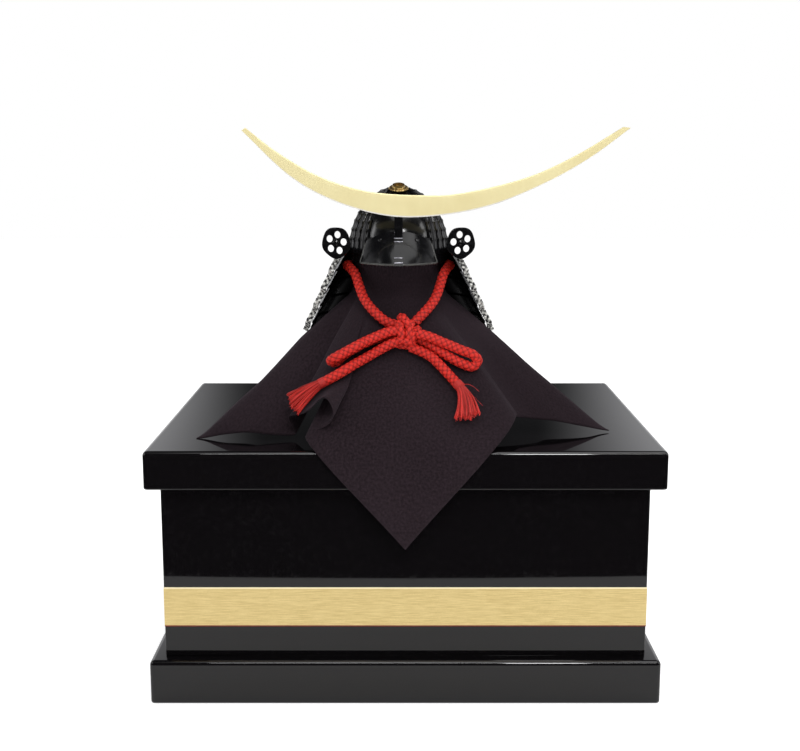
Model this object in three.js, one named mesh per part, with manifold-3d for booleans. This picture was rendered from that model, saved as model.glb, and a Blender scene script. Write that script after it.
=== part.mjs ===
// A small samurai helmet for display: ribbed bowl, peak, crescent crest, pierced turnbacks and a
// neck guard of five lames, tied with a red chin cord and set on a stand under a draped cloth, on
// its lacquered storage chest. Millimetres, +Z up. The origin is the middle of the chest's base on
// the floor, the front faces -Y and the viewer's right is +X.
import * as THREE from 'three';
import { mergeVertices } from 'three/addons/utils/BufferGeometryUtils.js';
import Module from 'manifold-3d';

const wasm = await Module();
wasm.setup();

// Storage chest
const CHEST_WIDTH = 450;
const CHEST_DEPTH = 330;
const CHEST_HEIGHT = 228;
const LID_HEIGHT = 34;
const PLINTH_HEIGHT = 39;
const OVERHANG = 12.5; // how far the lid and the plinth stand proud of the case
const BOARD = 9;
const EDGE_ROUND = 4;
const BAND_LOW = 67; // the gold band's lower edge above the floor
const BAND_HIGH = 103;
const BAND_THICK = 0.6;
const SEAT = 0.3; // clearance between pieces that rest on each other

// Stand and cloth
const STAND_X = -6; // the stand's axis on the lid
const STAND_Y = -25;
const STAND_FOOT_RADIUS = 60;
const STAND_FOOT_HEIGHT = 8;
const STAND_POST_RADIUS = 9;
const HEAD_RADIUS = 41; // the cloth's middle surface round the stand's head
const RIM_HEIGHT = 160; // the helmet's rim above the lid
const HEAD_RISE = 56.2; // from the rim to the cloth's crown
const HEAD_SLACK = 0.8; // the cloth's folds stand off the head by this much
const FALL_HEIGHT = 124; // where the cloth leaves the head and starts its slope
const CLOTH_SIDE = 442;
const CLOTH_LEAD = 46; // the square's middle lies ahead of the stand's axis
const CLOTH_TWIST = 1.1; // degrees that the square is turned on the stand
const CLOTH_REACH = 140; // a fold of reach 1 meets the lid this far from the stand's axis
const CLOTH_THICK = 1.6;
const CLOTH_LIFT = 1.6; // the cloth's middle surface above the lid
const CLOTH_HANG = 2.8; // and in front of the lid's front face
const CLOTH_BEND = 8; // half the length over which a bend is rounded

// Helmet
const BOWL_WIDTH = 91;
const BOWL_LENGTH = 104;
const BOWL_HEIGHT = 60;
const BOWL_WALL = 1.8;
const RIB_HEIGHT = 1.1;
const RIB_COUNT = 24;
const FRONT_PLATE = 42; // half the angle of the smooth front plate
const STRIP_WIDTH = 3.2; // the raised strip on each side of the front plate
const STRIP_THICK = 1.3;
const BAND_BELOW = 8; // the bowl's waist band under the rim
const CROWN_RADIUS = 8.7;
const CROWN_HEIGHT = 3.8;
const CROWN_FORWARD = 15;
const PEAK_WIDTH = 69;
const PEAK_REACH = 22; // how far the peak's edge stands before the bowl
const PEAK_TOP = 21;
const PEAK_EDGE = -6.5; // the peak's edge, from the rim's level
const PEAK_THICK = 1.5;
const RIVET_RADIUS = 2.1;
const HOLDER_WIDTH = 7.3;
const HOLDER_THICK = 1.4;
const HOLDER_RISE = 46; // the top of the holder's tongue above the rim
const CREST_THICK = 1.3;
const CREST_PLACE = -62.5; // the crest's plane before the bowl's axis
const CREST_LEFT = 137.5;
const CREST_RIGHT = 203.5;
const CREST_BASE = 36; // the crest's lowest edge above the rim
const CREST_RISE = 76.5; // from the lowest edge to the tips

// Turnbacks
const TURN_RADIUS = 14.2;
const TURN_THICK = 1.3;
const TURN_X = 56;
const TURN_Y = -44.2;
const TURN_Z = 11;
const TURN_YAW = 24; // degrees that each plate faces outward
const TURN_HOLE = 3.2;
const TURN_HOLE_RING = 7.5;
const BOSS_RADIUS = 3.3;

// Neck guard
const LAMES = 5;
const LAME_WALL = 1.4;
const LAME_HEIGHT = 20.5;
const LAME_PITCH = 17;
const LAME_GAP = 0.5; // between one lame's inside and the next one's top
const LAME_TOP = 5; // the first lame's top above the rim
const LAME_RADIUS = 47.8;
const LAME_BACK = 5.5; // the lames are longer behind than wide
const FLARE = 0.55; // outward over down
const LACE_RADIUS = 1.9;

// Cord and tassels
const CORD_RADIUS = 4.3;
const CORD_SIDES = 8;
const CORD_SEAT = 0.3;
const LOOP_RADIUS = 48.5; // the hidden stretch of the chin cord round the cloth
const LOOP_Z = -13.2; // and its height from the rim
const KNOT_WIDTH = 21;
const KNOT_DEPTH = 17;
const KNOT_HEIGHT = 27;
const KNOT_BUMP = 5.2;
const TASSEL_LENGTH = 34;
const TASSEL_SPREAD = 12.5;
const TASSEL_THICK = 4.3;

const LID_TOP = CHEST_HEIGHT;
const RIM_Z = LID_TOP + RIM_HEIGHT;
const EDGE_AHEAD = CHEST_DEPTH / 2 + STAND_Y; // from the stand's axis to the lid's front edge
const TURN = Math.PI / 180;

const v3 = (x, y, z) => new THREE.Vector3(x, y, z);
const lerp = THREE.MathUtils.lerp;
const ease = (t) => THREE.MathUtils.smoothstep(t, 0, 1);
const steps = (count, from = 0, to = 1) => Array.from({ length: count + 1 }, (_, i) => lerp(from, to, i / count));

// Turns a geometry's faces outward.
function outward(geometry) {
  const position = geometry.attributes.position;
  const index = geometry.index.array;
  let volume = 0;
  const [a, b, c] = [v3(0, 0, 0), v3(0, 0, 0), v3(0, 0, 0)];
  for (let i = 0; i < index.length; i += 3) {
    a.fromBufferAttribute(position, index[i]);
    b.fromBufferAttribute(position, index[i + 1]);
    c.fromBufferAttribute(position, index[i + 2]);
    volume += a.dot(b.cross(c));
  }
  if (volume < 0) {
    for (let i = 0; i < index.length; i += 3) [index[i], index[i + 1]] = [index[i + 1], index[i]];
  }
  return geometry;
}

// A closed body through rings of points. Its ends are fans round a middle point, or, for a thin
// section whose second half runs back along the first, strips between the two halves.
function ringBody(rings, thin = false) {
  const count = rings[0].length;
  const points = rings.flat();
  const faces = [];
  for (let r = 0; r + 1 < rings.length; r += 1) {
    for (let k = 0; k < count; k += 1) {
      const next = (k + 1) % count;
      const [a, b] = [r * count + k, r * count + next];
      const [c, d] = [a + count, b + count];
      faces.push(a, b, d, a, d, c);
    }
  }
  const close = (ring, flip) => {
    const base = ring * count;
    const turn = (a, b, c) => (flip ? faces.push(a, b, c) : faces.push(a, c, b));
    if (thin) {
      for (let k = 0; k + 1 < count / 2; k += 1) {
        const [a, b, c, d] = [base + k, base + k + 1, base + count - 2 - k, base + count - 1 - k];
        turn(a, c, b);
        turn(a, d, c);
      }
      return;
    }
    const middle = rings[ring].reduce((sum, p) => sum.add(p), v3(0, 0, 0)).divideScalar(count);
    points.push(middle);
    for (let k = 0; k < count; k += 1) turn(points.length - 1, base + ((k + 1) % count), base + k);
  };
  close(0, true);
  close(rings.length - 1, false);
  const geometry = new THREE.BufferGeometry().setFromPoints(points);
  geometry.setIndex(faces);
  return outward(mergeVertices(geometry, 1e-4));
}

// Rings with the same count of points, offset along the surface's own normals by a distance.
function offsetRings(rings, distance) {
  const count = rings[0].length;
  return rings.map((ring, r) => ring.map((point, k) => {
    const up = rings[Math.max(r - 1, 0)][k];
    const down = rings[Math.min(r + 1, rings.length - 1)][k];
    const left = ring[(k + count - 1) % count];
    const right = ring[(k + 1) % count];
    const normal = v3(0, 0, 0).subVectors(right, left).cross(v3(0, 0, 0).subVectors(up, down)).normalize();
    return point.clone().addScaledVector(normal, distance);
  }));
}

const toManifold = (geometry) => {
  const bare = geometry.clone();
  bare.deleteAttribute('normal');
  bare.deleteAttribute('uv');
  const merged = mergeVertices(bare, 1e-4);
  return new wasm.Manifold(new wasm.Mesh({
    numProp: 3,
    vertProperties: new Float32Array(merged.attributes.position.array),
    triVerts: new Uint32Array(merged.index.array),
  }));
};

const fromManifold = (solid) => {
  const mesh = solid.getMesh();
  const geometry = new THREE.BufferGeometry();
  geometry.setAttribute('position', new THREE.BufferAttribute(mesh.vertProperties, 3));
  geometry.setIndex(new THREE.BufferAttribute(mesh.triVerts, 1));
  return geometry;
};

const paint = (color, roughness, metalness = 0) => new THREE.MeshStandardMaterial({ color, roughness, metalness });
const lacquer = () => paint(0x0a0a0b, 0.12);
const goldLeaf = () => paint(0xc9a654, 0.45, 0.6);
const brass = () => paint(0xd8bd72, 0.35, 0.8);
const silk = () => paint(0xb81c17, 0.75);
const crepe = () => paint(0x2d2228, 0.95);
const wood = () => paint(0x8a6a45, 0.7);

const part = new THREE.Group();
const helmet = new THREE.Group();
helmet.position.set(STAND_X, STAND_Y, RIM_Z);
part.add(helmet);

function add(group, name, geometry, material) {
  const mesh = new THREE.Mesh(geometry, material);
  mesh.name = name;
  group.add(mesh);
  return mesh;
}

// Chest: a plinth, four boards and a floor board, a lid and a gold band across the front

function board(width, depth, height, round) {
  const shape = new THREE.Shape();
  const [x, y] = [width / 2 - round, depth / 2 - round];
  shape.moveTo(-x, -y).lineTo(x, -y).lineTo(x, y).lineTo(-x, y).closePath();
  return new THREE.ExtrudeGeometry(shape, {
    depth: height - 2 * round,
    bevelThickness: round,
    bevelSize: round,
    bevelSegments: 3,
  }).translate(0, 0, round);
}

const CASE_WIDTH = CHEST_WIDTH - 2 * OVERHANG;
const CASE_DEPTH = CHEST_DEPTH - 2 * OVERHANG;
const CASE_BOTTOM = PLINTH_HEIGHT + SEAT;
const CASE_TOP = CHEST_HEIGHT - LID_HEIGHT - SEAT;
const CASE_HEIGHT = CASE_TOP - CASE_BOTTOM;
add(part, 'chest_plinth', board(CHEST_WIDTH, CHEST_DEPTH, PLINTH_HEIGHT, EDGE_ROUND), lacquer());
add(part, 'chest_lid', board(CHEST_WIDTH, CHEST_DEPTH, LID_HEIGHT, EDGE_ROUND), lacquer())
  .position.z = CHEST_HEIGHT - LID_HEIGHT;
for (const [name, side] of [['front', -1], ['back', 1]]) {
  add(part, `chest_${name}_board`, new THREE.BoxGeometry(CASE_WIDTH, BOARD, CASE_HEIGHT), lacquer())
    .position.set(0, side * (CASE_DEPTH - BOARD) / 2, (CASE_BOTTOM + CASE_TOP) / 2);
}
const SIDE_BOARD = CASE_DEPTH - 2 * (BOARD + SEAT);
for (const [name, side] of [['left', -1], ['right', 1]]) {
  add(part, `chest_${name}_board`, new THREE.BoxGeometry(BOARD, SIDE_BOARD, CASE_HEIGHT), lacquer())
    .position.set(side * (CASE_WIDTH - BOARD) / 2, 0, (CASE_BOTTOM + CASE_TOP) / 2);
}
const FLOOR_WIDTH = CASE_WIDTH - 2 * (BOARD + SEAT);
add(part, 'chest_floor_board', new THREE.BoxGeometry(FLOOR_WIDTH, SIDE_BOARD, BOARD), wood())
  .position.set(0, 0, CASE_BOTTOM + BOARD / 2);
add(part, 'chest_gold_band', new THREE.BoxGeometry(CASE_WIDTH, BAND_THICK, BAND_HIGH - BAND_LOW), goldLeaf())
  .position.set(0, -(CASE_DEPTH + BAND_THICK) / 2 - SEAT / 3, (BAND_LOW + BAND_HIGH) / 2);

// Stand: one turned piece, a foot, a post and a rounded head

const CLOTH_CLEAR = CLOTH_THICK / 2 + SEAT;
const headRadius = HEAD_RADIUS - CLOTH_CLEAR - HEAD_SLACK;
const headRise = HEAD_RISE - CLOTH_CLEAR - HEAD_SLACK;
const headCurve = steps(6).map((t) => new THREE.Vector2(
  headRadius * Math.cos(t * Math.PI / 2),
  RIM_HEIGHT + headRise * Math.sin(t * Math.PI / 2),
));
headCurve[headCurve.length - 1].x = 0;
const standProfile = [
  new THREE.Vector2(0, SEAT),
  new THREE.Vector2(STAND_FOOT_RADIUS, SEAT),
  new THREE.Vector2(STAND_FOOT_RADIUS, STAND_FOOT_HEIGHT),
  new THREE.Vector2(STAND_POST_RADIUS, STAND_FOOT_HEIGHT + STAND_POST_RADIUS / 2),
  new THREE.Vector2(STAND_POST_RADIUS, FALL_HEIGHT - STAND_POST_RADIUS),
  new THREE.Vector2(headRadius - EDGE_ROUND, FALL_HEIGHT + EDGE_ROUND),
  new THREE.Vector2(headRadius, FALL_HEIGHT + 2 * EDGE_ROUND),
  ...headCurve,
];
add(part, 'display_stand', new THREE.LatheGeometry(standProfile, 24).rotateX(Math.PI / 2), wood())
  .position.set(STAND_X, STAND_Y, LID_TOP);

// Cloth: a square laid over the stand's head. Each row is one line of the cloth from the crown to
// the hem: turn is its angle in the flat square, heading its direction on the stand, reach where
// its slope meets the lid's level, as a share of the distance to the lid's front edge, and edge is
// 1 where the lid's edge bends it down. Rows whose headings run back make the folds.
const FOLDS = [
  { turn: -180, heading: -180, reach: 0.75, edge: 0 },
  { turn: -160, heading: -156, reach: 0.77, edge: 0 },
  { turn: -140, heading: -136, reach: 0.82, edge: 0 },
  { turn: -122, heading: -112, reach: 0.95, edge: 0 },
  { turn: -104, heading: -90, reach: 1.08, edge: 0 },
  { turn: -90, heading: -74, reach: 1.24, edge: 0 },
  { turn: -80, heading: -63, reach: 1.41, edge: 0 },
  { turn: -71, heading: -56, reach: 1.29, edge: 0 },
  { turn: -60, heading: -45, reach: 0.95, edge: 0 },
  { turn: -50, heading: -42, reach: 1.18, edge: 0 },
  { turn: -35, heading: -22, reach: 1.2, edge: 0 },
  { turn: -25, heading: -32, reach: 1.12, edge: 0.2 },
  { turn: -17, heading: -26, reach: 1.12, edge: 1 },
  { turn: 0, heading: 0, reach: 1, edge: 1 },
  { turn: 22, heading: 34, reach: 1.21, edge: 1 },
  { turn: 36, heading: 45, reach: 1.22, edge: 0 },
  { turn: 47, heading: 52, reach: 1.06, edge: 0 },
  { turn: 60, heading: 59, reach: 1.1, edge: 0 },
  { turn: 74, heading: 66, reach: 1.29, edge: 0 },
  { turn: 84, heading: 73, reach: 1.41, edge: 0 },
  { turn: 96, heading: 86, reach: 1.14, edge: 0 },
  { turn: 110, heading: 99, reach: 1.05, edge: 0 },
  { turn: 124, heading: 114, reach: 0.97, edge: 0 },
  { turn: 142, heading: 135, reach: 0.82, edge: 0 },
  { turn: 162, heading: 157, reach: 0.77, edge: 0 },
  { turn: 180, heading: 180, reach: 0.75, edge: 0 },
];
const COLUMNS_PER_FOLD = 2;

// A column of the table at any turn, on a smooth curve through the rows. The table closes on
// itself, so the first and last rows share their slope.
function foldValue(column, turn) {
  const last = FOLDS.length - 1;
  const slope = (i) => {
    const [before, after] = i === 0 || i === last ? [last - 1, 1] : [i - 1, i + 1];
    const lap = i === 0 || i === last ? 360 : 0;
    const rise = FOLDS[after][column] - FOLDS[before][column] + (column === 'heading' ? lap : 0);
    return rise / (FOLDS[after].turn - FOLDS[before].turn + lap);
  };
  let i = 0;
  while (i < last - 1 && FOLDS[i + 1].turn <= turn) i += 1;
  const span = FOLDS[i + 1].turn - FOLDS[i].turn;
  const t = (turn - FOLDS[i].turn) / span;
  const [a, b] = [FOLDS[i][column], FOLDS[i + 1][column]];
  return (2 * t ** 3 - 3 * t ** 2 + 1) * a + (t ** 3 - 2 * t ** 2 + t) * span * slope(i)
    + (3 * t ** 2 - 2 * t ** 3) * b + (t ** 3 - t ** 2) * span * slope(i + 1);
}

// The distance from the stand's axis to the square's border, along a turn in the flat cloth.
function hemDistance(turn) {
  const [side, ahead] = [Math.sin((turn - CLOTH_TWIST) * TURN), Math.cos((turn - CLOTH_TWIST) * TURN)];
  const half = CLOTH_SIDE / Math.SQRT2;
  let nearest = Infinity;
  for (const sx of [-1, 1]) {
    for (const sy of [-1, 1]) {
      const toward = sx * side + sy * ahead;
      if (toward > 1e-9) nearest = Math.min(nearest, (half + sy * CLOTH_LEAD) / toward);
    }
  }
  return nearest;
}

// The course of one line of the cloth: radius and height at its corners, from the crown down.
function clothCourse(turn) {
  const heading = foldValue('heading', turn);
  const held = foldValue('edge', turn);
  const free = foldValue('reach', turn) * CLOTH_REACH;
  const cosine = Math.cos(heading * TURN);
  const edge = (EDGE_AHEAD + CLOTH_HANG - CLOTH_LIFT) / Math.max(cosine, 0.3);
  const reach = held > 0 && cosine > 0.3 ? lerp(free, edge, Math.min(held, 1)) : free;
  const profile = [
    ...steps(6).map((t) => [
      HEAD_RADIUS * Math.sin(t * Math.PI / 2),
      RIM_HEIGHT + HEAD_RISE * Math.cos(t * Math.PI / 2),
    ]),
    [HEAD_RADIUS, FALL_HEIGHT],
    [reach, CLOTH_LIFT],
    [reach + CLOTH_SIDE, CLOTH_LIFT],
  ];
  const lengths = [0];
  for (let i = 1; i < profile.length; i += 1) {
    lengths.push(lengths[i - 1] + Math.hypot(profile[i][0] - profile[i - 1][0], profile[i][1] - profile[i - 1][1]));
  }
  const [fall, landing] = lengths.slice(-3);
  const hem = hemDistance(turn);
  return { heading, reach, profile, lengths, fall, landing, hem, over: held > 0.5 ? hem - landing : -1 };
}

// One line of the cloth: points from the crown to the hem.
function clothLine(turn) {
  const { heading, reach, profile, lengths, fall, landing, hem, over: spare } = clothCourse(turn);
  const slantCosine = (reach - HEAD_RADIUS) / (landing - fall);
  const hangs = spare > 0;

  const at = (distance) => {
    const s = Math.abs(distance);
    let i = 1;
    while (i < profile.length - 1 && lengths[i] < s) i += 1;
    const t = (s - lengths[i - 1]) / (lengths[i] - lengths[i - 1]);
    const radius = lerp(profile[i - 1][0], profile[i][0], t);
    const height = lerp(profile[i - 1][1], profile[i][1], t);
    const blend = ease((s - fall) / (0.62 * (landing - fall)));
    const way = lerp(turn, heading, blend) * TURN;
    if (hangs && s > landing) {
      const over = s - landing;
      const slant = Math.sin(heading * TURN) * slantCosine;
      return v3(
        reach * Math.sin(heading * TURN) + over * slant,
        -EDGE_AHEAD - CLOTH_HANG,
        CLOTH_LIFT - over * Math.sqrt(1 - slant * slant),
      );
    }
    return v3(radius * Math.sin(way), -radius * Math.cos(way), height);
  };
  const rounded = (s) => steps(6, -CLOTH_BEND, CLOTH_BEND)
    .reduce((sum, shift) => sum.add(at(s + shift)), v3(0, 0, 0)).divideScalar(7);

  const bend = lerp(fall + 0.65 * (hem - fall), landing, hangs ? 1 : 0);
  const brow = lengths[6];
  return [
    ...steps(6, 0.05 * brow, brow),
    fall,
    ...steps(4, fall, bend).slice(1),
    ...steps(3, bend, hem).slice(1),
  ].map(rounded);
}

const half = CLOTH_SIDE / Math.SQRT2;
const cornerTurn = Math.atan2(half, CLOTH_LEAD) / TURN;
const hemMeetsEdge = (a, b) => (clothCourse(a).over > CLOTH_BEND / 2) !== (clothCourse(b).over > CLOTH_BEND / 2);
const clothTurns = [
  ...FOLDS.slice(0, -1).flatMap((row, i) => steps(COLUMNS_PER_FOLD, row.turn, FOLDS[i + 1].turn).slice(0, -1)),
  CLOTH_TWIST - cornerTurn,
  CLOTH_TWIST,
  CLOTH_TWIST + cornerTurn,
  ...steps(400, -50, 50).filter((turn, i, all) => i > 0 && hemMeetsEdge(all[i - 1], turn)),
].sort((a, b) => a - b);
const clothLines = clothTurns.map(clothLine);
const clothRings = clothLines[0].map((_, r) => clothLines.map((line) => line[r]));
const clothOuter = offsetRings(clothRings, CLOTH_THICK / 2);
const clothInner = offsetRings(clothRings, -CLOTH_THICK / 2).reverse();
add(part, 'draped_cloth', ringBody([...clothOuter, ...clothInner]), crepe())
  .position.set(STAND_X, STAND_Y, LID_TOP);

// Bowl: a deep ribbed shell, with a smooth plate in front between two raised strips

const around = (angle, a, b) => v3(a * Math.sin(angle * TURN), -b * Math.cos(angle * TURN), 0);

// A point on the bowl's outside: angle from the front in degrees, lift from 0 at the rim to 1.
function bowlPoint(angle, lift, out = 0) {
  const climb = lift * Math.PI / 2;
  const point = around(angle, BOWL_WIDTH / 2, BOWL_LENGTH / 2).multiplyScalar(Math.cos(climb));
  point.z = BOWL_HEIGHT * Math.sin(climb);
  const normal = v3(
    point.x / (BOWL_WIDTH / 2) ** 2,
    point.y / (BOWL_LENGTH / 2) ** 2,
    point.z / BOWL_HEIGHT ** 2,
  ).normalize();
  return point.addScaledVector(normal, out);
}

const ribSpan = (360 - 2 * FRONT_PLATE) / RIB_COUNT;
const ribAngles = steps(RIB_COUNT * 2, FRONT_PLATE, 360 - FRONT_PLATE);
const frontAngles = steps(8, -FRONT_PLATE, FRONT_PLATE).slice(1, -1);
const bowlAngles = [...ribAngles, ...frontAngles.map((a) => a + 360)];
const ribOut = (angle) => {
  const along = (angle - FRONT_PLATE) / ribSpan;
  return angle > 360 - FRONT_PLATE ? 0 : RIB_HEIGHT * Math.abs(Math.sin(along * Math.PI));
};
const lifts = steps(9, 0, 0.96);
const bowlRings = lifts.map((lift) => bowlAngles.map((angle) => bowlPoint(angle, lift, ribOut(angle) * (1 - lift ** 4))));
const bowlInside = [...lifts].reverse().map((lift) => bowlAngles.map((angle) => bowlPoint(angle, lift, -BOWL_WALL)));
bowlInside[bowlInside.length - 1].forEach((point) => { point.z = 0; });
add(helmet, 'helmet_bowl', ringBody([...bowlRings].reverse().concat([...bowlInside].reverse())), lacquer());

// The raised strips at the front plate's two sides
function strip(side) {
  const halfAngle = STRIP_WIDTH / BOWL_WIDTH * 2 / TURN / 2;
  const middle = side * (FRONT_PLATE - halfAngle - 1);
  const ring = (lift) => [
    bowlPoint(middle - halfAngle, lift, SEAT),
    bowlPoint(middle, lift, SEAT),
    bowlPoint(middle + halfAngle, lift, SEAT),
    bowlPoint(middle + halfAngle, lift, SEAT + 0.5 * STRIP_THICK),
    bowlPoint(middle, lift, SEAT + STRIP_THICK),
    bowlPoint(middle - halfAngle, lift, SEAT + 0.5 * STRIP_THICK),
  ];
  return ringBody(steps(8, 0.165, 0.84).map(ring), true);
}
add(helmet, 'front_strip_left', strip(-1), lacquer());
add(helmet, 'front_strip_right', strip(1), lacquer());

// The waist band under the bowl's rim, open at the front where the peak is
function waistBand() {
  const section = (angle) => {
    const [a, b] = [BOWL_WIDTH / 2, BOWL_LENGTH / 2];
    const inner = around(angle, a - BOWL_WALL, b - BOWL_WALL);
    const outer = around(angle, a, b);
    return [
      inner.clone().setZ(-SEAT), inner.clone().setZ(-BAND_BELOW),
      outer.clone().setZ(-BAND_BELOW), outer.clone().setZ(-SEAT),
    ];
  };
  return ringBody(steps(32, FRONT_PLATE + 4, 360 - FRONT_PLATE - 4).map(section), true);
}
add(helmet, 'waist_band', waistBand(), lacquer());

// Crown fitting: a petalled ring, tilted with the bowl's slope
const crownProfile = [
  [0.45, 0], [1, 0], [1, 0.2], [0.8, 0.42], [0.68, 1], [0.45, 1], [0.45, 0],
].map(([r, h]) => new THREE.Vector2(r * CROWN_RADIUS, h * CROWN_HEIGHT));
const crownLift = Math.acos(CROWN_FORWARD / (BOWL_LENGTH / 2)) / (Math.PI / 2);
const crownTilt = Math.atan(BOWL_HEIGHT * CROWN_FORWARD / (BOWL_LENGTH / 2) ** 2 / Math.sin(crownLift * Math.PI / 2));
const crown = add(helmet, 'crown_fitting', new THREE.LatheGeometry(crownProfile, 24).rotateX(Math.PI / 2), brass());
crown.position.copy(bowlPoint(0, crownLift, 1.1 + SEAT));
crown.rotation.x = crownTilt;

// Peak: a curved plate from the bowl's front down to a straight lower edge

const PEAK_COLUMNS = 12;
const PEAK_ROWS = 4;
function peakPoint(across, down, out) {
  const side = across * PEAK_WIDTH / 2;
  const topAngle = across * 39;
  const topLift = Math.asin((PEAK_TOP - 9 * across ** 2) / BOWL_HEIGHT) / (Math.PI / 2);
  const top = bowlPoint(topAngle, topLift, SEAT + out);
  const edge = v3(side, -BOWL_LENGTH / 2 - PEAK_REACH + 25 * across ** 2, PEAK_EDGE);
  edge.y -= out;
  const point = top.lerp(edge, down);
  point.y -= 2.2 * Math.sin(down * Math.PI);
  return point;
}
function peakBody() {
  const rows = steps(PEAK_ROWS);
  const section = (across) => [
    ...rows.map((down) => peakPoint(across, down, 0)),
    ...[...rows].reverse().map((down) => peakPoint(across, down, PEAK_THICK)),
  ];
  return ringBody(steps(PEAK_COLUMNS, -1, 1).map(section), true);
}
add(helmet, 'peak', peakBody(), lacquer());

// Dome-headed rivets that fix the peak
function dome(radius, height) {
  const points = steps(3).map((t) => new THREE.Vector2(
    radius * Math.cos(t * Math.PI / 2), height * Math.sin(t * Math.PI / 2)));
  points[3].x = 0;
  return new THREE.LatheGeometry([new THREE.Vector2(0, 0), ...points], 12).rotateX(Math.PI / 2);
}
for (const [name, across] of [['left', -0.53], ['right', 0.53]]) {
  const place = peakPoint(across, 0.2, PEAK_THICK);
  const outer = peakPoint(across, 0.2, PEAK_THICK + 1).sub(place).normalize();
  const slope = peakPoint(across, 0.3, PEAK_THICK).sub(peakPoint(across, 0.1, PEAK_THICK));
  const over = peakPoint(across + 0.05, 0.2, PEAK_THICK).sub(peakPoint(across - 0.05, 0.2, PEAK_THICK));
  const normal = slope.cross(over).normalize();
  if (normal.dot(outer) < 0) normal.negate();
  const rivet = add(helmet, `peak_rivet_${name}`, dome(RIVET_RADIUS, 1.3), lacquer());
  rivet.position.copy(place).addScaledVector(normal, SEAT);
  rivet.quaternion.setFromUnitVectors(v3(0, 0, 1), normal);
}

// Crest holder: a strap bent down the middle of the peak, with a tongue that rises behind the crest
function crestHolder() {
  const along = steps(5, 0, 1.02).map((down) => peakPoint(0, down, PEAK_THICK + SEAT));
  const tongueY = CREST_PLACE + CREST_THICK / 2 + SEAT + HOLDER_THICK;
  const inner = [[tongueY, HOLDER_RISE], [tongueY, PEAK_TOP + 6], ...along.slice(1).map((p) => [p.y, p.z])];
  const shape = new THREE.Shape();
  shape.moveTo(...inner[0]);
  inner.slice(1).forEach(([y, z]) => shape.lineTo(y, z));
  [...inner].reverse().forEach(([y, z]) => shape.lineTo(y - HOLDER_THICK, z));
  shape.closePath();
  return new THREE.ExtrudeGeometry(shape, { depth: HOLDER_WIDTH, bevelEnabled: false })
    .translate(0, 0, -HOLDER_WIDTH / 2)
    .applyMatrix4(new THREE.Matrix4().makeBasis(v3(0, 1, 0), v3(0, 0, 1), v3(1, 0, 0)));
}
add(helmet, 'crest_holder', crestHolder(), lacquer());

// Crest: a thin crescent, its left arm shorter and steeper than the right. Each row is a place on
// an edge: along from the left tip to the right tip, and up from the lowest edge to the tips.
const CREST_LOWER = [
  { along: 0, up: 0.97 }, { along: 0.12, up: 0.46 }, { along: 0.236, up: 0.17 }, { along: 0.375, up: 0 },
  { along: 0.51, up: 0.005 }, { along: 0.65, up: 0.13 }, { along: 0.79, up: 0.39 }, { along: 0.9, up: 0.67 },
  { along: 1, up: 1 },
];
const CREST_UPPER = [
  { along: 0.98, up: 1.01 }, { along: 0.86, up: 0.69 }, { along: 0.735, up: 0.44 }, { along: 0.58, up: 0.27 },
  { along: 0.475, up: 0.235 }, { along: 0.325, up: 0.28 }, { along: 0.2, up: 0.45 }, { along: 0.093, up: 0.72 },
  { along: 0.01, up: 1 },
];
function crestBody() {
  const place = ({ along, up }) => new THREE.Vector2(
    lerp(-CREST_LEFT, CREST_RIGHT, along), CREST_BASE + up * CREST_RISE);
  const lower = new THREE.SplineCurve(CREST_LOWER.map(place)).getPoints(28);
  const upper = new THREE.SplineCurve(CREST_UPPER.map(place)).getPoints(28);
  return new THREE.ExtrudeGeometry(new THREE.Shape([...lower, ...upper]), { depth: CREST_THICK, bevelEnabled: false })
    .rotateX(Math.PI / 2);
}
add(helmet, 'crescent_crest', crestBody(), brass()).position.y = CREST_PLACE + CREST_THICK / 2;

// Neck guard: five flared lames, each a band round the back that runs forward at both sides. Each
// row gives how far its two ends reach ahead of the bowl's axis.
const LAME_ENDS = [{ ahead: 46 }, { ahead: 32 }, { ahead: 24 }, { ahead: 14 }, { ahead: 1 }];

// A point of a band's plan: way from -1 at the left end, past 0 at the back, to 1 at the right end.
function bandPoint(way, radius, ahead) {
  const turned = Math.min(Math.abs(way) / 0.72, 1) * 90;
  const forward = Math.max((Math.abs(way) - 0.72) / 0.28, 0) * ahead;
  const side = radius * Math.sin(turned * TURN) - 0.05 * forward;
  return v3(Math.sign(way) * side, (radius + LAME_BACK) * Math.cos(turned * TURN) - forward, 0);
}
const LAME_STEP = LAME_PITCH * FLARE - LAME_WALL - LAME_GAP; // each lame starts this much further out
const lameTop = (i) => LAME_TOP - i * LAME_PITCH;
const lameRadius = (i, below) => LAME_RADIUS + i * LAME_STEP + below * FLARE;
function lamePoint(i, way, below, out = 0) {
  const round = Math.max(Math.abs(way) - 0.94, 0) / 0.06; // the ends are rounded
  const low = Math.min(below, LAME_HEIGHT - 3.5 * round ** 2);
  const point = bandPoint(way, lameRadius(i, low) + out, LAME_ENDS[i].ahead);
  point.z = lameTop(i) - low;
  return point;
}
function lame(i) {
  const section = (way) => [
    lamePoint(i, way, 0), lamePoint(i, way, LAME_HEIGHT),
    lamePoint(i, way, LAME_HEIGHT, LAME_WALL), lamePoint(i, way, 0, LAME_WALL),
  ];
  const ways = [-1, -0.97, ...steps(24, -0.94, 0.94), 0.97, 1];
  return ringBody(ways.map(section), true);
}
for (let i = 0; i < LAMES; i += 1) add(helmet, `neck_lame_${i + 1}`, lame(i), lacquer());

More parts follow.
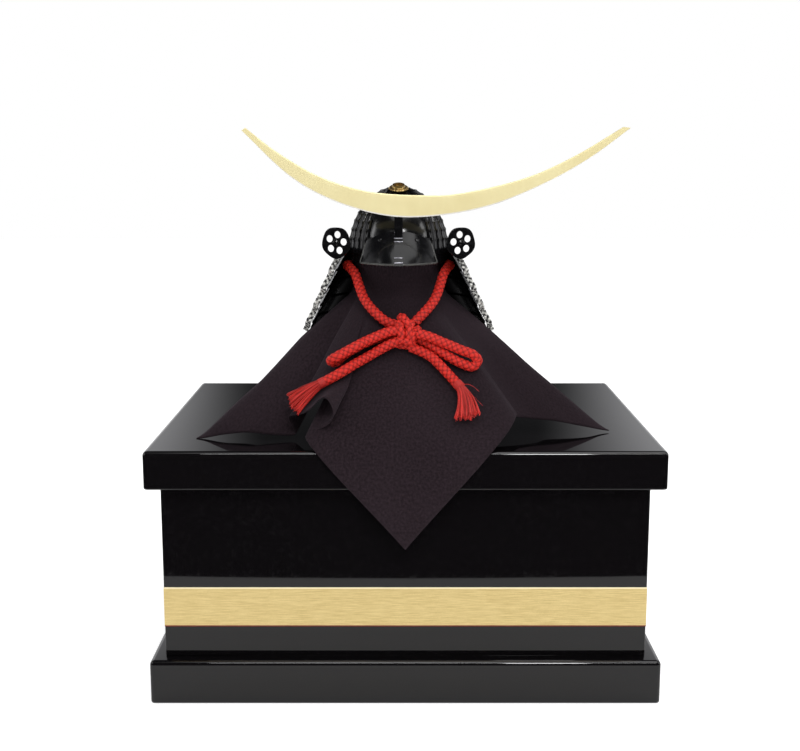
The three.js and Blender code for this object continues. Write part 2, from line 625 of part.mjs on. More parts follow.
// A round cord or braid along a list of points, with as many steps as its length needs
function cordBody(points, radius, tension = 0.5) {
  const path = new THREE.CatmullRomCurve3(points, false, 'catmullrom', tension);
  const section = new THREE.Shape();
  steps(CORD_SIDES).slice(0, -1).forEach((t, i) => {
    const [x, y] = [radius * Math.cos(2 * Math.PI * t), radius * Math.sin(2 * Math.PI * t)];
    if (i === 0) section.moveTo(x, y);
    else section.lineTo(x, y);
  });
  section.closePath();
  const count = Math.max(4, Math.round(path.getLength() / (5 * radius)));
  return new THREE.ExtrudeGeometry(section, { steps: count, extrudePath: path, bevelEnabled: false });
}

// Edge lacing: a braid down each side over the lames' front ends
for (const [name, side] of [['left', -1], ['right', 1]]) {
  const clear = LAME_WALL + LACE_RADIUS + 3 * SEAT;
  const points = [];
  for (let i = 0; i < LAMES; i += 1) {
    const low = i === LAMES - 1 ? 0.55 : 0.9;
    for (const share of [0.35, low]) points.push(lamePoint(i, side * 0.95, share * LAME_HEIGHT, clear + 2 * SEAT));
  }
  add(helmet, `edge_lacing_${name}`, cordBody(points, LACE_RADIUS), paint(0x6b6b66, 0.8));
}

// Turnbacks: the first lame's ends turned outward as pierced round plates, each with a domed boss
for (const [name, side] of [['left', -1], ['right', 1]]) {
  const outline = new THREE.Shape(steps(30).slice(0, -1).map((t) => {
    const angle = t * 2 * Math.PI;
    const radius = TURN_RADIUS * (1 + 0.03 * Math.cos(5 * angle + Math.PI / 2));
    return new THREE.Vector2(radius * Math.cos(angle), radius * Math.sin(angle));
  }));
  for (let k = 0; k < 5; k += 1) {
    const angle = (90 + 10 * side + 72 * k) * TURN;
    const hole = new THREE.Path();
    hole.absarc(TURN_HOLE_RING * Math.cos(angle), TURN_HOLE_RING * Math.sin(angle), TURN_HOLE, 0, 2 * Math.PI);
    outline.holes.push(hole);
  }
  const turnback = new THREE.Group();
  turnback.position.set(side * TURN_X, TURN_Y, TURN_Z);
  turnback.rotation.z = side * TURN_YAW * TURN;
  helmet.add(turnback);
  const plate = new THREE.ExtrudeGeometry(outline, { depth: TURN_THICK, bevelEnabled: false, curveSegments: 6 })
    .rotateX(Math.PI / 2);
  add(turnback, `turnback_${name}`, plate, lacquer());
  add(turnback, `turnback_boss_${name}`, dome(BOSS_RADIUS, 2.2).rotateX(Math.PI / 2), lacquer())
    .position.y = -TURN_THICK - SEAT;
}

// Chin cord: a round braid. It goes from the knot up the left side, behind the cloth's neck and
// down the right side; two bow loops and two tails leave the same knot. Points are in the helmet's
// frame, chosen by hand along the cloth.
const behind = [-72, -95, -120, -150, 180, 150, 120, 95, 72].map((angle) => {
  const point = around(angle, LOOP_RADIUS, LOOP_RADIUS);
  return [point.x, point.y, LOOP_Z];
});
const CORDS = {
  chin_cord: [
    [-2.5, -68.5, -60.5], [-11.5, -66.2, -57.5], [-21.8, -60.8, -49.5], [-31, -49, -39.5], [-36.2, -37.2, -28],
    [-40, -28, -18.5], ...behind, [41.6, -28.4, -18.2], [38, -37, -27.7], [35, -45, -35.6], [30, -53, -43.5],
    [23, -60.6, -50.5], [14, -67.5, -59],
  ],
  bow_loop_left: [
    [-1.3, -83.6, -63.5], [-8.5, -84.1, -64.4], [-18.6, -86.6, -68.1], [-28.7, -89.8, -72.1],
    [-38.6, -95.6, -76.4], [-47.8, -98.2, -81.2], [-54, -99.6, -84.4], [-59.4, -95.6, -88.6], [-55, -90.6, -90.4],
    [-48.5, -89, -84.8], [-39.1, -85.2, -79.2], [-29, -80.6, -75], [-18.8, -76.6, -71.3], [-8.6, -74.6, -69],
    [-2.3, -74.2, -68],
  ],
  bow_loop_right: [
    [16.3, -85.9, -65.6], [27.4, -87, -68.6], [37.1, -88.1, -72.6], [47, -88.6, -76.6], [56.5, -90.6, -80.4],
    [64.7, -91.2, -83.4], [69.6, -90.8, -89], [64.9, -92, -94.2], [56.7, -92.1, -92], [47, -90.1, -87.4],
    [37.2, -86.4, -82], [27.5, -81.9, -76.4], [19.4, -78.7, -72.8], [14.6, -77.1, -71],
  ],
  cord_tail_left: [
    [-1.3, -86.1, -73], [-8.5, -86.2, -75.8], [-18.3, -86.8, -81.2], [-28.1, -89.3, -86.6], [-37.7, -96.2, -91],
    [-47.2, -104.8, -95.6], [-56.8, -107, -101], [-66.5, -108.5, -106],
  ],
  cord_tail_right: [
    [10.2, -82.5, -78.4], [19, -86, -81.2], [27.8, -89.8, -85.4], [33.9, -94, -90.2], [40.3, -98, -96.4],
    [46.7, -101.6, -103], [52.6, -107.4, -108.6],
  ],
};
const cordPoints = Object.fromEntries(Object.entries(CORDS).map(([name, list]) => [name, list.map((p) => v3(...p))]));
for (const [name, points] of Object.entries(cordPoints)) add(helmet, name, cordBody(points, CORD_RADIUS), silk());

// Knot: one lump with two bumps on top, with a seat for each cord that enters it
const KNOT_PLACE = v3(5.7, -79.5, -62);
function ellipsoid(width, depth, height, place) {
  return toManifold(new THREE.SphereGeometry(0.5, 12, 8).scale(width, depth, height).translate(...place.toArray()));
}
function knotBody() {
  let knot = ellipsoid(KNOT_WIDTH, KNOT_DEPTH, KNOT_HEIGHT, KNOT_PLACE);
  for (const side of [-1, 1]) {
    const bump = KNOT_PLACE.clone().add(v3(side * KNOT_BUMP, 0, 0.4 * KNOT_HEIGHT));
    knot = knot.add(ellipsoid(2 * KNOT_BUMP, 2 * KNOT_BUMP, 2 * KNOT_BUMP, bump));
  }
  for (const points of Object.values(cordPoints)) {
    const longer = points.map((p) => p.clone());
    const last = longer.length - 1;
    longer[0].add(longer[0].clone().sub(longer[1]).setLength(CORD_SEAT));
    longer[last].add(longer[last].clone().sub(longer[last - 1]).setLength(CORD_SEAT));
    knot = knot.subtract(toManifold(cordBody(longer, CORD_RADIUS + CORD_SEAT + 0.1)));
  }
  return fromManifold(knot);
}
add(helmet, 'chin_knot', knotBody(), silk());

// Tassels: the cord's end opened into locks that fan out flat on the cloth. Each row of the table
// is a section: along the tassel, its half width as a share of the spread, and the locks' depth.
const TASSEL_SECTIONS = [
  { along: 0, wide: 0.36, locks: 0 }, { along: 0.1, wide: 0.42, locks: 0 }, { along: 0.25, wide: 0.5, locks: 0.06 },
  { along: 0.5, wide: 0.7, locks: 0.1 }, { along: 0.75, wide: 0.88, locks: 0.12 }, { along: 1, wide: 1, locks: 0.14 },
];
const TASSELS = {
  left: { tail: cordPoints.cord_tail_left, way: v3(-27, 0, -20), face: v3(-0.2, -0.76, 0.62) },
  right: { tail: cordPoints.cord_tail_right, way: v3(8, -25, -28), face: v3(0.05, -0.76, 0.64) },
};
const LOCKS = 11;
for (const [side, { tail, way, face }] of Object.entries(TASSELS)) {
  const [before, from] = tail.slice(-2);
  const heading = from.clone().sub(before).setLength(0.4 * TASSEL_LENGTH);
  const start = from.clone().addScaledVector(heading.clone().normalize(), CORD_SEAT);
  const axis = new THREE.QuadraticBezierCurve3(start, start.clone().add(heading), start.clone().add(way.setLength(TASSEL_LENGTH)));
  const rings = TASSEL_SECTIONS.map((row) => {
    const along = axis.getTangent(row.along);
    const across = along.clone().cross(face).normalize();
    const up = across.clone().cross(along);
    return steps(2 * LOCKS).slice(0, -1).map((t) => {
      const angle = t * 2 * Math.PI;
      const lock = 1 + row.locks * Math.cos(LOCKS * angle);
      return axis.getPoint(row.along)
        .addScaledVector(across, row.wide * TASSEL_SPREAD * lock * Math.cos(angle))
        .addScaledVector(up, TASSEL_THICK * lock * Math.sin(angle));
    });
  });
  add(helmet, `tassel_${side}`, ringBody(rings), silk());
}

export default part;
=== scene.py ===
# A small samurai helmet with a crescent crest, tied with a red cord over a cloth-draped stand, on
# its black lacquered storage chest. Lengths are in millimetres until a mesh is made.
import math

import bmesh
import bpy
import numpy as np
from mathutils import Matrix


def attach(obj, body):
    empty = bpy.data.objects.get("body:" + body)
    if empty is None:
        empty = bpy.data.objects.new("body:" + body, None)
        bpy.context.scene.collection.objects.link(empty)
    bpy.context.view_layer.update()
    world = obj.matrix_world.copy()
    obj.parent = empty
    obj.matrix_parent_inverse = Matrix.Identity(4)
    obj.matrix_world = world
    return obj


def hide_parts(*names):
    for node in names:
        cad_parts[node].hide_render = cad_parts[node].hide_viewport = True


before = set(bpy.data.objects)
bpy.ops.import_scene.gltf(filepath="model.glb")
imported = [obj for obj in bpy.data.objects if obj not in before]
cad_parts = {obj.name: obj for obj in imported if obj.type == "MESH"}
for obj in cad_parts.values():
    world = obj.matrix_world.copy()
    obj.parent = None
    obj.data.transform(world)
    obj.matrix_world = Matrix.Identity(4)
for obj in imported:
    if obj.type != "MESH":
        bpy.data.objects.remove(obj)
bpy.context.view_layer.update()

# Camera: 1.2 m in front of the chest and 0.48 m up, looking 10 degrees down.


def put(name, data):
    """A new object in the scene, at the origin."""
    made = bpy.data.objects.new(name, data)
    bpy.context.collection.objects.link(made)
    return made


camera = put("camera", bpy.data.cameras.new("camera"))
camera.data.sensor_width = 36
camera.data.lens = 56.25
camera.location = (-0.0047, -1.202, 0.477)
camera.rotation_euler = (math.radians(80), 0, 0)
bpy.context.scene.camera = camera

# Red chin cord: a round silk braid of about 9 mm, from the knot up the left side, behind the
# cloth's neck and down the right side. Two bow loops and two tails leave the same knot.
HELMET = np.array([-6.0, -25.0, 388.0])
CORD_RADIUS = 4.3
CORD_BEHIND = 48.5
CORD_LEVEL = -13.2
BRAID_STRANDS = 4
BRAID_STITCH = 5.2
BRAID_DEPTH = 0.85
BRAID_STEP = 0.62
CLOTH_FACE = np.array([0.0, -0.77, 0.64])


class Tint:
    """A shader socket that is added, multiplied and compared like a number."""

    def __init__(self, nodes, socket):
        self.nodes = nodes
        self.socket = socket

    def maths(self, operation, *values):
        return self.nodes.node("ShaderNodeMath", {"operation": operation}, dict(enumerate(values)))

    def __add__(self, other):
        return self.maths("ADD", self, other)

    __radd__ = __add__

    def __sub__(self, other):
        return self.maths("SUBTRACT", self, other)

    def __rsub__(self, other):
        return self.maths("SUBTRACT", other, self)

    def __mul__(self, other):
        return self.maths("MULTIPLY", self, other)

    __rmul__ = __mul__

    def __lt__(self, other):
        return self.maths("LESS_THAN", self, other)

    def __gt__(self, other):
        return self.maths("GREATER_THAN", self, other)


class Nodes:
    """A node tree. Each method adds a node and gives the socket it ends in."""

    def __init__(self, tree):
        self.tree = tree

    def node(self, kind, settings=None, values=None, output=0):
        made = self.tree.nodes.new(kind)
        for key, value in (settings or {}).items():
            setattr(made, key, value)
        for key, value in (values or {}).items():
            if isinstance(value, Tint):
                self.tree.links.new(value.socket, made.inputs[key])
            else:
                made.inputs[key].default_value = value
        return Tint(self, made.outputs[output])

    def place(self, stretch=(1, 1, 1), source="Object"):
        """Coordinates of the piece, in metres on Object, stretched along each axis."""
        start = self.node("ShaderNodeTexCoord", output=source)
        return self.node("ShaderNodeMapping", None, {"Vector": start, "Scale": stretch})

    def noise(self, scale, detail=3.0, roughness=0.5, stretch=(1, 1, 1), source="Object"):
        return self.node("ShaderNodeTexNoise", None, {"Vector": self.place(stretch, source), "Scale": scale,
                                                      "Detail": detail, "Roughness": roughness})

    def drawn(self, attribute):
        return self.node("ShaderNodeAttribute", {"attribute_name": attribute}, None, 2)

    def blend(self, first, second, factor):
        """The first colour where factor is 0, and the second where it is 1."""
        return self.node("ShaderNodeMix", {"data_type": "RGBA"}, {0: factor, 6: first, 7: second}, 2)

    def band(self, value, low, high):
        """0 where value is below low, 1 where it is above high."""
        return self.node("ShaderNodeMapRange", None, {"Value": value, "From Min": low, "From Max": high})

    def bump(self, height, strength, distance):
        return self.node("ShaderNodeBump", None,
                         {"Height": height, "Strength": strength, "Distance": distance})


class Finish(Nodes):
    """A node material. Its constants are set on the shader, and what varies is linked to it."""

    def __init__(self, name, **constants):
        self.material = bpy.data.materials.new(name)
        self.material.use_nodes = True
        super().__init__(self.material.node_tree)
        self.shader = next(n for n in self.tree.nodes if n.type == "BSDF_PRINCIPLED")
        for socket, value in constants.items():
            self.shader.inputs[socket.replace("_", " ")].default_value = value

    def drive(self, **links):
        for socket, value in links.items():
            self.tree.links.new(value.socket, self.shader.inputs[socket.replace("_", " ")])


def piece_of(name, mesh, finish, stands_for, closed, sharp):
    """The mesh as a piece: its doubles welded, smooth but for edges past the sharp angle, with its
    finish, attached to the root body, and with the CAD solids it stands for hidden."""
    shape = bmesh.new()
    shape.from_mesh(mesh)
    bmesh.ops.remove_doubles(shape, verts=shape.verts, dist=2e-6)
    bmesh.ops.dissolve_degenerate(shape, edges=shape.edges, dist=1e-7)
    if closed:
        bmesh.ops.recalc_face_normals(shape, faces=shape.faces)
    shape.to_mesh(mesh)
    shape.free()
    mesh.shade_smooth()
    if sharp:
        mesh.set_sharp_from_angle(angle=math.radians(sharp))
    mesh.materials.clear()
    mesh.materials.append(finish.material)
    piece = put(name, mesh)
    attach(piece, "root")
    if stands_for:
        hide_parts(*stands_for)
    return piece


def skin(name, grid, finish, stands_for=(), slot=None, uv=None, closed=True, flip=False, sharp=None,
         **marks):
    """A mesh over one or more grids of points, shaped (..., rows, columns, 3), in millimetres.

    Each quad joins four neighbours, and points that meet are welded, so a grid whose last column
    repeats its first closes on itself. uv and marks are given per point; marks become attributes.
    """
    grid = np.asarray(grid, float)
    rows, columns = grid.shape[-3:-1]
    points = grid.reshape(-1, 3) * 0.001
    at = np.arange(points.shape[0]).reshape(-1, rows, columns)
    quads = np.stack([at[:, :-1, :-1], at[:, :-1, 1:], at[:, 1:, 1:], at[:, 1:, :-1]], -1).reshape(-1, 4)
    if flip:
        quads = quads[:, ::-1]
    mesh = bpy.data.meshes.new(name)
    mesh.vertices.add(len(points))
    mesh.vertices.foreach_set("co", points.ravel())
    mesh.loops.add(quads.size)
    mesh.loops.foreach_set("vertex_index", quads.ravel())
    mesh.polygons.add(len(quads))
    mesh.polygons.foreach_set("loop_start", np.arange(0, quads.size, 4))
    if uv is not None:
        flat = np.broadcast_to(np.asarray(uv, float), grid.shape[:-1] + (2,)).reshape(-1, 2)
        mesh.uv_layers.new(name="weave").data.foreach_set("uv", flat[quads.ravel()].ravel())
    for mark, values in marks.items():
        layer = mesh.attributes.new(mark, "FLOAT", "POINT")
        layer.data.foreach_set("value", np.broadcast_to(values, grid.shape[:-1]).astype(float).ravel())
    mesh.update(calc_edges=True)
    return piece_of(name, mesh, finish, stands_for, closed, sharp)


def course(points, step):
    """Points every step along a smooth curve through the given ones, each span a cubic whose slope
    at a point is half the way between its neighbours."""
    points = np.asarray(points, float)
    padded = np.vstack([2 * points[0] - points[1], points, 2 * points[-1] - points[-2]])
    t = np.linspace(0, len(points) - 1, 40 * len(points))
    i = np.minimum(t.astype(int), len(points) - 2)
    f = (t - i)[:, None]
    a, b, c, d = (padded[i + k] for k in range(4))
    fine = 0.5 * (2 * b + (c - a) * f + (2 * a - 5 * b + 4 * c - d) * f**2
                  + (3 * b - 3 * c + d - a) * f**3)
    run = np.concatenate([[0], np.cumsum(np.linalg.norm(np.diff(fine, axis=0), axis=1))])
    where = np.linspace(0, run[-1], max(int(round(run[-1] / step)), 4) + 1)
    return np.stack([np.interp(where, run, fine[:, k]) for k in range(3)], -1), where


def unit(vectors):
    return vectors / np.linalg.norm(vectors, axis=-1, keepdims=True)


def circle(count):
    """Angles once round, the last one on the first."""
    return np.linspace(0, 2 * np.pi, count)


def around_line(line, facing, angles, radius):
    """A tube round a line: at each point, radius times (cos angle along facing, sin angle across)."""
    ahead = unit(np.gradient(line, axis=0))
    face = unit(facing - np.sum(facing * ahead, -1, keepdims=True) * ahead)
    side = np.cross(ahead, face)
    radius = np.asarray(radius)[..., None]
    return (line[:, None] + radius * (np.cos(angles)[None, :, None] * face[:, None]
                                      + np.sin(angles)[None, :, None] * side[:, None]))


def capped(rings):
    """The rings with a middle point added before the first and after the last, which closes the ends."""
    ends = [np.broadcast_to(rings[k].mean(0), rings[k].shape)[None] for k in (0, -1)]
    return np.concatenate([ends[0], rings, ends[1]])


def braid(points, facing, radius=CORD_RADIUS):
    """A round braid along a line. Its surface is a lattice of stitches: strands run round it both
    ways, and in each cell of the lattice one of the two lies on top, bulging across its own run and
    dipping at both ends under its neighbours. Returns the grid, its uv and the height of each point.
    """
    line, run = course(points, BRAID_STEP)
    if callable(facing):
        facing = facing(line)
    turn = circle(41)
    across = BRAID_STRANDS * turn[None] / (2 * np.pi)
    along = run[:, None] / BRAID_STITCH
    first, second = across + along, across - along
    a, b = first % 1, second % 1
    top = (np.floor(first) + np.floor(second)) % 2 < 0.5
    raised = np.where(top, np.sin(np.pi * a) ** 0.6 * np.sin(np.pi * b) ** 0.3,
                      np.sin(np.pi * b) ** 0.6 * np.sin(np.pi * a) ** 0.3)
    grid = around_line(line, facing, turn, radius + BRAID_DEPTH * (raised - 0.75))
    uv = np.stack(np.broadcast_arrays(np.where(top, a, b) * 6, np.where(top, b, a)), -1)
    pad = ((1, 1), (0, 0))
    return capped(grid), np.pad(uv, pad + ((0, 0),)), np.pad(raised, pad), line


red_silk = Finish("red_silk_braid", Roughness=0.5, Sheen_Weight=0.06, Sheen_Roughness=0.4,
                  Sheen_Tint=(1.0, 0.3, 0.2, 1), Specular_IOR_Level=0.3)
threads = red_silk.node(
    "ShaderNodeTexWave", {"bands_direction": "X"},
    {"Vector": red_silk.place(source="UV"), "Scale": 1.0, "Distortion": 1.2, "Detail": 1.0})
height = red_silk.drawn("raised")
mottle = red_silk.noise(420.0, 2.0)
# Painted shade and highlight: the braid is darker where its surface dips between stitches, and its threads
# are a lighter red on the raised tops.
shade = red_silk.band(height + 0.25 * mottle, 0.26, 1.0)
red = red_silk.blend((0.19, 0.004, 0.003, 1), (0.60, 0.013, 0.008, 1), shade)
red = red_silk.blend(red, (0.82, 0.05, 0.028, 1), 0.5 * threads * shade)
red_silk.drive(Base_Color=red, Normal=red_silk.bump(threads + 0.5 * mottle, 0.35, 0.0002))

turned = np.radians([-72, -95, -120, -150, 180, 150, 120, 95, 72])
behind = np.stack([CORD_BEHIND * np.sin(turned), -CORD_BEHIND * np.cos(turned),
                   np.full(turned.shape, CORD_LEVEL)], -1)
chin_left = [(-2.5, -68.5, -60.5), (-11.5, -66.2, -57.5), (-21.8, -60.8, -49.5), (-31, -49, -39.5),
             (-36.2, -37.2, -28), (-40, -28, -18.5)]
chin_right = [(41.6, -28.4, -18.2), (38, -37, -27.7), (35, -45, -35.6), (30, -53, -43.5),
              (23, -60.6, -50.5), (14, -67.5, -59)]
cord_runs = {
    "chin_cord": np.vstack([chin_left, behind, chin_right]),
    "bow_loop_left": [
        (-1.3, -83.6, -63.5), (-8.5, -84.1, -64.4), (-18.6, -86.6, -68.1), (-28.7, -89.8, -72.1),
        (-38.6, -95.6, -76.4), (-47.8, -98.2, -81.2), (-54, -99.6, -84.4), (-59.4, -95.6, -88.6),
        (-55, -90.6, -90.4), (-48.5, -89, -84.8), (-39.1, -85.2, -79.2), (-29, -80.6, -75),
        (-18.8, -76.6, -71.3), (-8.6, -74.6, -69), (-2.3, -74.2, -68)],
    "bow_loop_right": [
        (16.3, -85.9, -65.6), (27.4, -87, -68.6), (37.1, -88.1, -72.6), (47, -88.6, -76.6),
        (56.5, -90.6, -80.4), (64.7, -91.2, -83.4), (69.6, -90.8, -89), (64.9, -92, -94.2),
        (56.7, -92.1, -92), (47, -90.1, -87.4), (37.2, -86.4, -82), (27.5, -81.9, -76.4),
        (19.4, -78.7, -72.8), (14.6, -77.1, -71)],
    "cord_tail_left": [
        (-1.3, -86.1, -73), (-8.5, -86.2, -75.8), (-18.3, -86.8, -81.2), (-28.1, -89.3, -86.6),
        (-37.7, -96.2, -91), (-47.2, -104.8, -95.6), (-56.8, -107, -101), (-66.5, -108.5, -106)],
    "cord_tail_right": [
        (10.2, -82.5, -78.4), (19, -86, -81.2), (27.8, -89.8, -85.4), (33.9, -94, -90.2),
        (40.3, -98, -96.4), (46.7, -101.6, -103), (52.6, -107.4, -108.6)],
}
neck = HELMET + (0, 0, -75)
for name, run in cord_runs.items():
    facing = (lambda line: line - neck) if name == "chin_cord" else CLOTH_FACE
    grid, uv, raised, line = braid(np.asarray(run, float) + HELMET, facing)
    cord = skin(name + "_braid", grid, red_silk, [name], "red_silk", uv=uv, raised=raised)
    length = float(np.linalg.norm(np.diff(line, axis=0), axis=1).sum()) / 1000
    "knot" if "tail" in name else "object"

# Knot: the same braid wrapped round the crossing. Two turns stand side by side, one leans across
# them, one binds the tails below and one the right loop's two strands.
KNOT = np.array([5.7, -79.5, -62.0])
upward = unit(np.cross(CLOTH_FACE, (-1.0, 0, 0)))


def knot_turn(middle, lean, tall, deep, radius):
    """A closed ring of braid: an upright ellipse, tall and deep, leaning sideways by an angle."""
    angle = circle(25)
    up = upward * math.cos(lean) + np.array([math.sin(lean), 0, 0])
    ring = KNOT + middle + tall * np.sin(angle)[:, None] * up + deep * np.cos(angle)[:, None] * CLOTH_FACE
    return braid(ring + HELMET, lambda line: line - (KNOT + HELMET + middle), radius)[:3]


knot_turns = [
    knot_turn(np.array([-4.3, 0, 0]) + 2.5 * upward, 0.20, 7.0, 5.0, 3.6),
    knot_turn(np.array([4.3, 0, 0]) + 2.5 * upward, -0.15, 7.0, 5.0, 3.6),
    knot_turn(np.array([0.5, 0, 0]) - 4.0 * upward, 0.55, 7.5, 5.5, 3.8),
    knot_turn(np.array([-1.4, -4.4, -12.6]), 1.45, 7.6, 3.6, 3.6),
    knot_turn(np.array([8.6, -2.6, -5.8]), -0.45, 6.4, 4.4, 3.3),
]
longest = max(len(turn[0]) for turn in knot_turns)
grids, uvs, heights = (np.array([np.concatenate([part, np.repeat(part[-1:], longest - len(part), 0)])
                                 for part in parts]) for parts in zip(*knot_turns))
skin("chin_knot_braid", grids, red_silk, ["chin_knot"], "red_silk", uv=uvs, raised=heights)

# Tassels: each tail's end is bound and its silk opened into a flat fan of loose threads, which
# lies on the cloth. A few threads have strayed from the right one.
TASSEL = {"length": 32.0, "spread": 11.5, "depth": 3.9, "threads": 260, "thread": 0.34, "bound": 4.35}
tassel_silk = Finish("red_tassel_silk", Roughness=0.5, Sheen_Weight=0.08, Sheen_Tint=(1, 0.35, 0.25, 1))
streak = tassel_silk.drawn("streak")
tassel_silk.drive(Base_Color=tassel_silk.blend((0.26, 0.004, 0.003, 1), (0.80, 0.030, 0.020, 1), streak))
rng = np.random.default_rng(7)
for side, way in {"left": np.array([-27.0, 0, -20.0]), "right": np.array([8.0, -25.0, -28.0])}.items():
    tail = np.asarray(cord_runs["cord_tail_" + side], float)
    start = tail[-1] + HELMET
    heading = unit(tail[-1] - tail[-2])
    t = np.linspace(0, 1, 12)[:, None]
    axis = ((1 - t) ** 2 * start + 2 * t * (1 - t) * (start + heading * 0.4 * TASSEL["length"])
            + t**2 * (start + unit(way) * TASSEL["length"]))
    across = unit(np.cross(unit(way), CLOTH_FACE))
    count = TASSEL["threads"]
    place = np.sqrt(rng.random(count))
    angle = 2 * np.pi * rng.random(count)
    wide = place * np.cos(angle)
    deep = place * np.sin(angle)
    clump = 0.05 * np.sin(wide * 17 + 1.3 * deep)
    down = t[:, 0]
    fan = 0.30 + 0.70 * down**1.25
    reach = 1 + 0.03 * rng.standard_normal(count) + 0.03 * np.cos(5 * wide)
    wave = 0.35 * np.sin(down * (4 + 3 * rng.random((count, 1))) + 6 * rng.random((count, 1)))
    spread = TASSEL["spread"] * fan * (wide[:, None] + clump[:, None] * down * 2) + wave * down
    depth = (TASSEL["depth"] * (1 - 0.25 * down)) * deep[:, None] + 0.6 * wave * down
    stretch = (axis[None] - start) * reach[:, None, None] + start
    lines = stretch + spread[..., None] * across + depth[..., None] * CLOTH_FACE
    turn = circle(5)
    ring = TASSEL["thread"] * (np.cos(turn)[:, None] * across + np.sin(turn)[:, None] * CLOTH_FACE)
    grid = lines[:, :, None] + ring[None, None] * (1 + 0.25 * rng.standard_normal((count, 1, 1, 1)))
    streaks = np.clip(0.55 + 0.28 * rng.standard_normal((count, 1, 1)), 0, 1) * (0.55 + 0.45 * t[None, :, :1])
    grid = np.array([capped(thread) for thread in grid])
    streaks = np.pad(streaks, ((0, 0), (1, 1), (0, 0)), "edge")
    skin("tassel_threads_" + side, grid, tassel_silk, ["tassel_" + side], "red_silk", streak=streaks)

    # the binding: close turns of red thread over the braid's end
    length = np.linspace(-3.0, 2.5, 34)[:, None]
    radius = TASSEL["bound"] + 0.32 * np.abs(np.sin(np.pi * length / 1.1))
    binding = around_line(start + heading * length, CLOTH_FACE, circle(33), radius)
    skin("tassel_binding_" + side, capped(binding), tassel_silk, slot="red_silk", streak=0.35)

stray = np.asarray(cord_runs["cord_tail_right"], float)[-1] + HELMET
t = np.linspace(0, 1, 14)[:, None]
strays = np.stack([
    stray + t * np.array([17, -9.0, -4.0]) + np.sin(3 * t) * np.array([0, -1.0, 4.0]),
    stray + t * np.array([20, -14.0, -14.0]) + np.sin(4 * t) * np.array([0, -1.0, 1.5]),
])
turn = circle(6)
ring = 0.16 * (np.cos(turn)[:, None] * np.array([0, 0, 1.0]) + np.sin(turn)[:, None] * np.array([0, 1.0, 0]))
skin("tassel_stray_threads", strays[:, :, None] + ring, tassel_silk, slot="red_silk", streak=0.7)

# Draped cloth: a square of dark aubergine crepe laid over the stand, corner to the front. It falls
# from the stand's head as a cone whose lines crowd together into folds, spreads on the lid, and its
# front corner hangs over the lid's edge.
STAND = np.array([-6.0, -25.0, 228.0])
CLOTH_SIDE = 442.0
HALF_DIAGONAL = CLOTH_SIDE / math.sqrt(2)
CLOTH_LEAD = 46.0
CLOTH_TWIST = 1.1
HEAD_RADIUS = 41.0
HEAD_LEVEL = 160.0
HEAD_RISE = 56.2
FALL_LEVEL = 124.0
EDGE_AHEAD = 140.0
CLOTH_LIFT = 1.2
CLOTH_HANG = 2.4
CLOTH_BEND = 8.0
PLEATS = 76
PLEAT_DEPTH = 1.65
FLUTES = 15
FLUTE_DEPTH = 21.0
# where the hem curls, half how wide in degrees, and how far up
HEM_CURLS = [(-38, 4.6, 21), (-73, 7.0, -4)]
# turn of a line in the flat square, where it falls, how far it reaches (shares of EDGE_AHEAD), and
# how far it is held to the lid's edge
FOLDS = np.array([
    (-180, -180, 0.75, 0), (-160, -156, 0.77, 0), (-140, -136, 0.82, 0), (-122, -112, 0.95, 0),
    (-104, -90, 1.08, 0), (-90, -74, 1.24, 0), (-80, -63, 1.41, 0), (-71, -56, 1.29, 0), (-60, -45, 0.95, 0),
    (-50, -42, 1.18, 0), (-35, -22, 1.2, 0), (-25, -32, 1.12, 0.2), (-17, -26, 1.12, 1), (0, 0, 1, 1),
    (22, 34, 1.21, 1), (36, 45, 1.22, 0), (47, 52, 1.06, 0), (60, 59, 1.1, 0), (74, 66, 1.29, 0),
    (84, 73, 1.41, 0), (96, 86, 1.14, 0), (110, 99, 1.05, 0), (124, 114, 0.97, 0), (142, 135, 0.82, 0),
    (162, 157, 0.77, 0), (180, 180, 0.75, 0),
])


def fold(column, turn):
    """A column of the table at any turn: a cubic through its rows, whose slope at a row is that
    between its two neighbours. The table closes on itself."""
    rows = np.vstack([FOLDS[-2] - (360, 360, 0, 0), FOLDS, FOLDS[1] + (360, 360, 0, 0)])
    turns, values = rows[:, 0], rows[:, column]
    slope = (values[2:] - values[:-2]) / (turns[2:] - turns[:-2])
    i = np.clip(np.searchsorted(FOLDS[:, 0], turn, side="right") - 1, 0, len(FOLDS) - 2)
    span = FOLDS[i + 1, 0] - FOLDS[i, 0]
    t = (turn - FOLDS[i, 0]) / span
    return ((2 * t**3 - 3 * t**2 + 1) * FOLDS[i, column] + (t**3 - 2 * t**2 + t) * span * slope[i]
            + (3 * t**2 - 2 * t**3) * FOLDS[i + 1, column] + (t**3 - t**2) * span * slope[i + 1])


def hem_distance(turn):
    """From the stand's axis to the square's border, along a turn in the flat cloth."""
    angle = np.radians(turn - CLOTH_TWIST)
    reach = [(HALF_DIAGONAL + sy * CLOTH_LEAD) / np.maximum(sx * np.sin(angle) + sy * np.cos(angle), 1e-6)
             for sx in (-1, 1) for sy in (-1, 1)]
    return np.min(reach, axis=0)


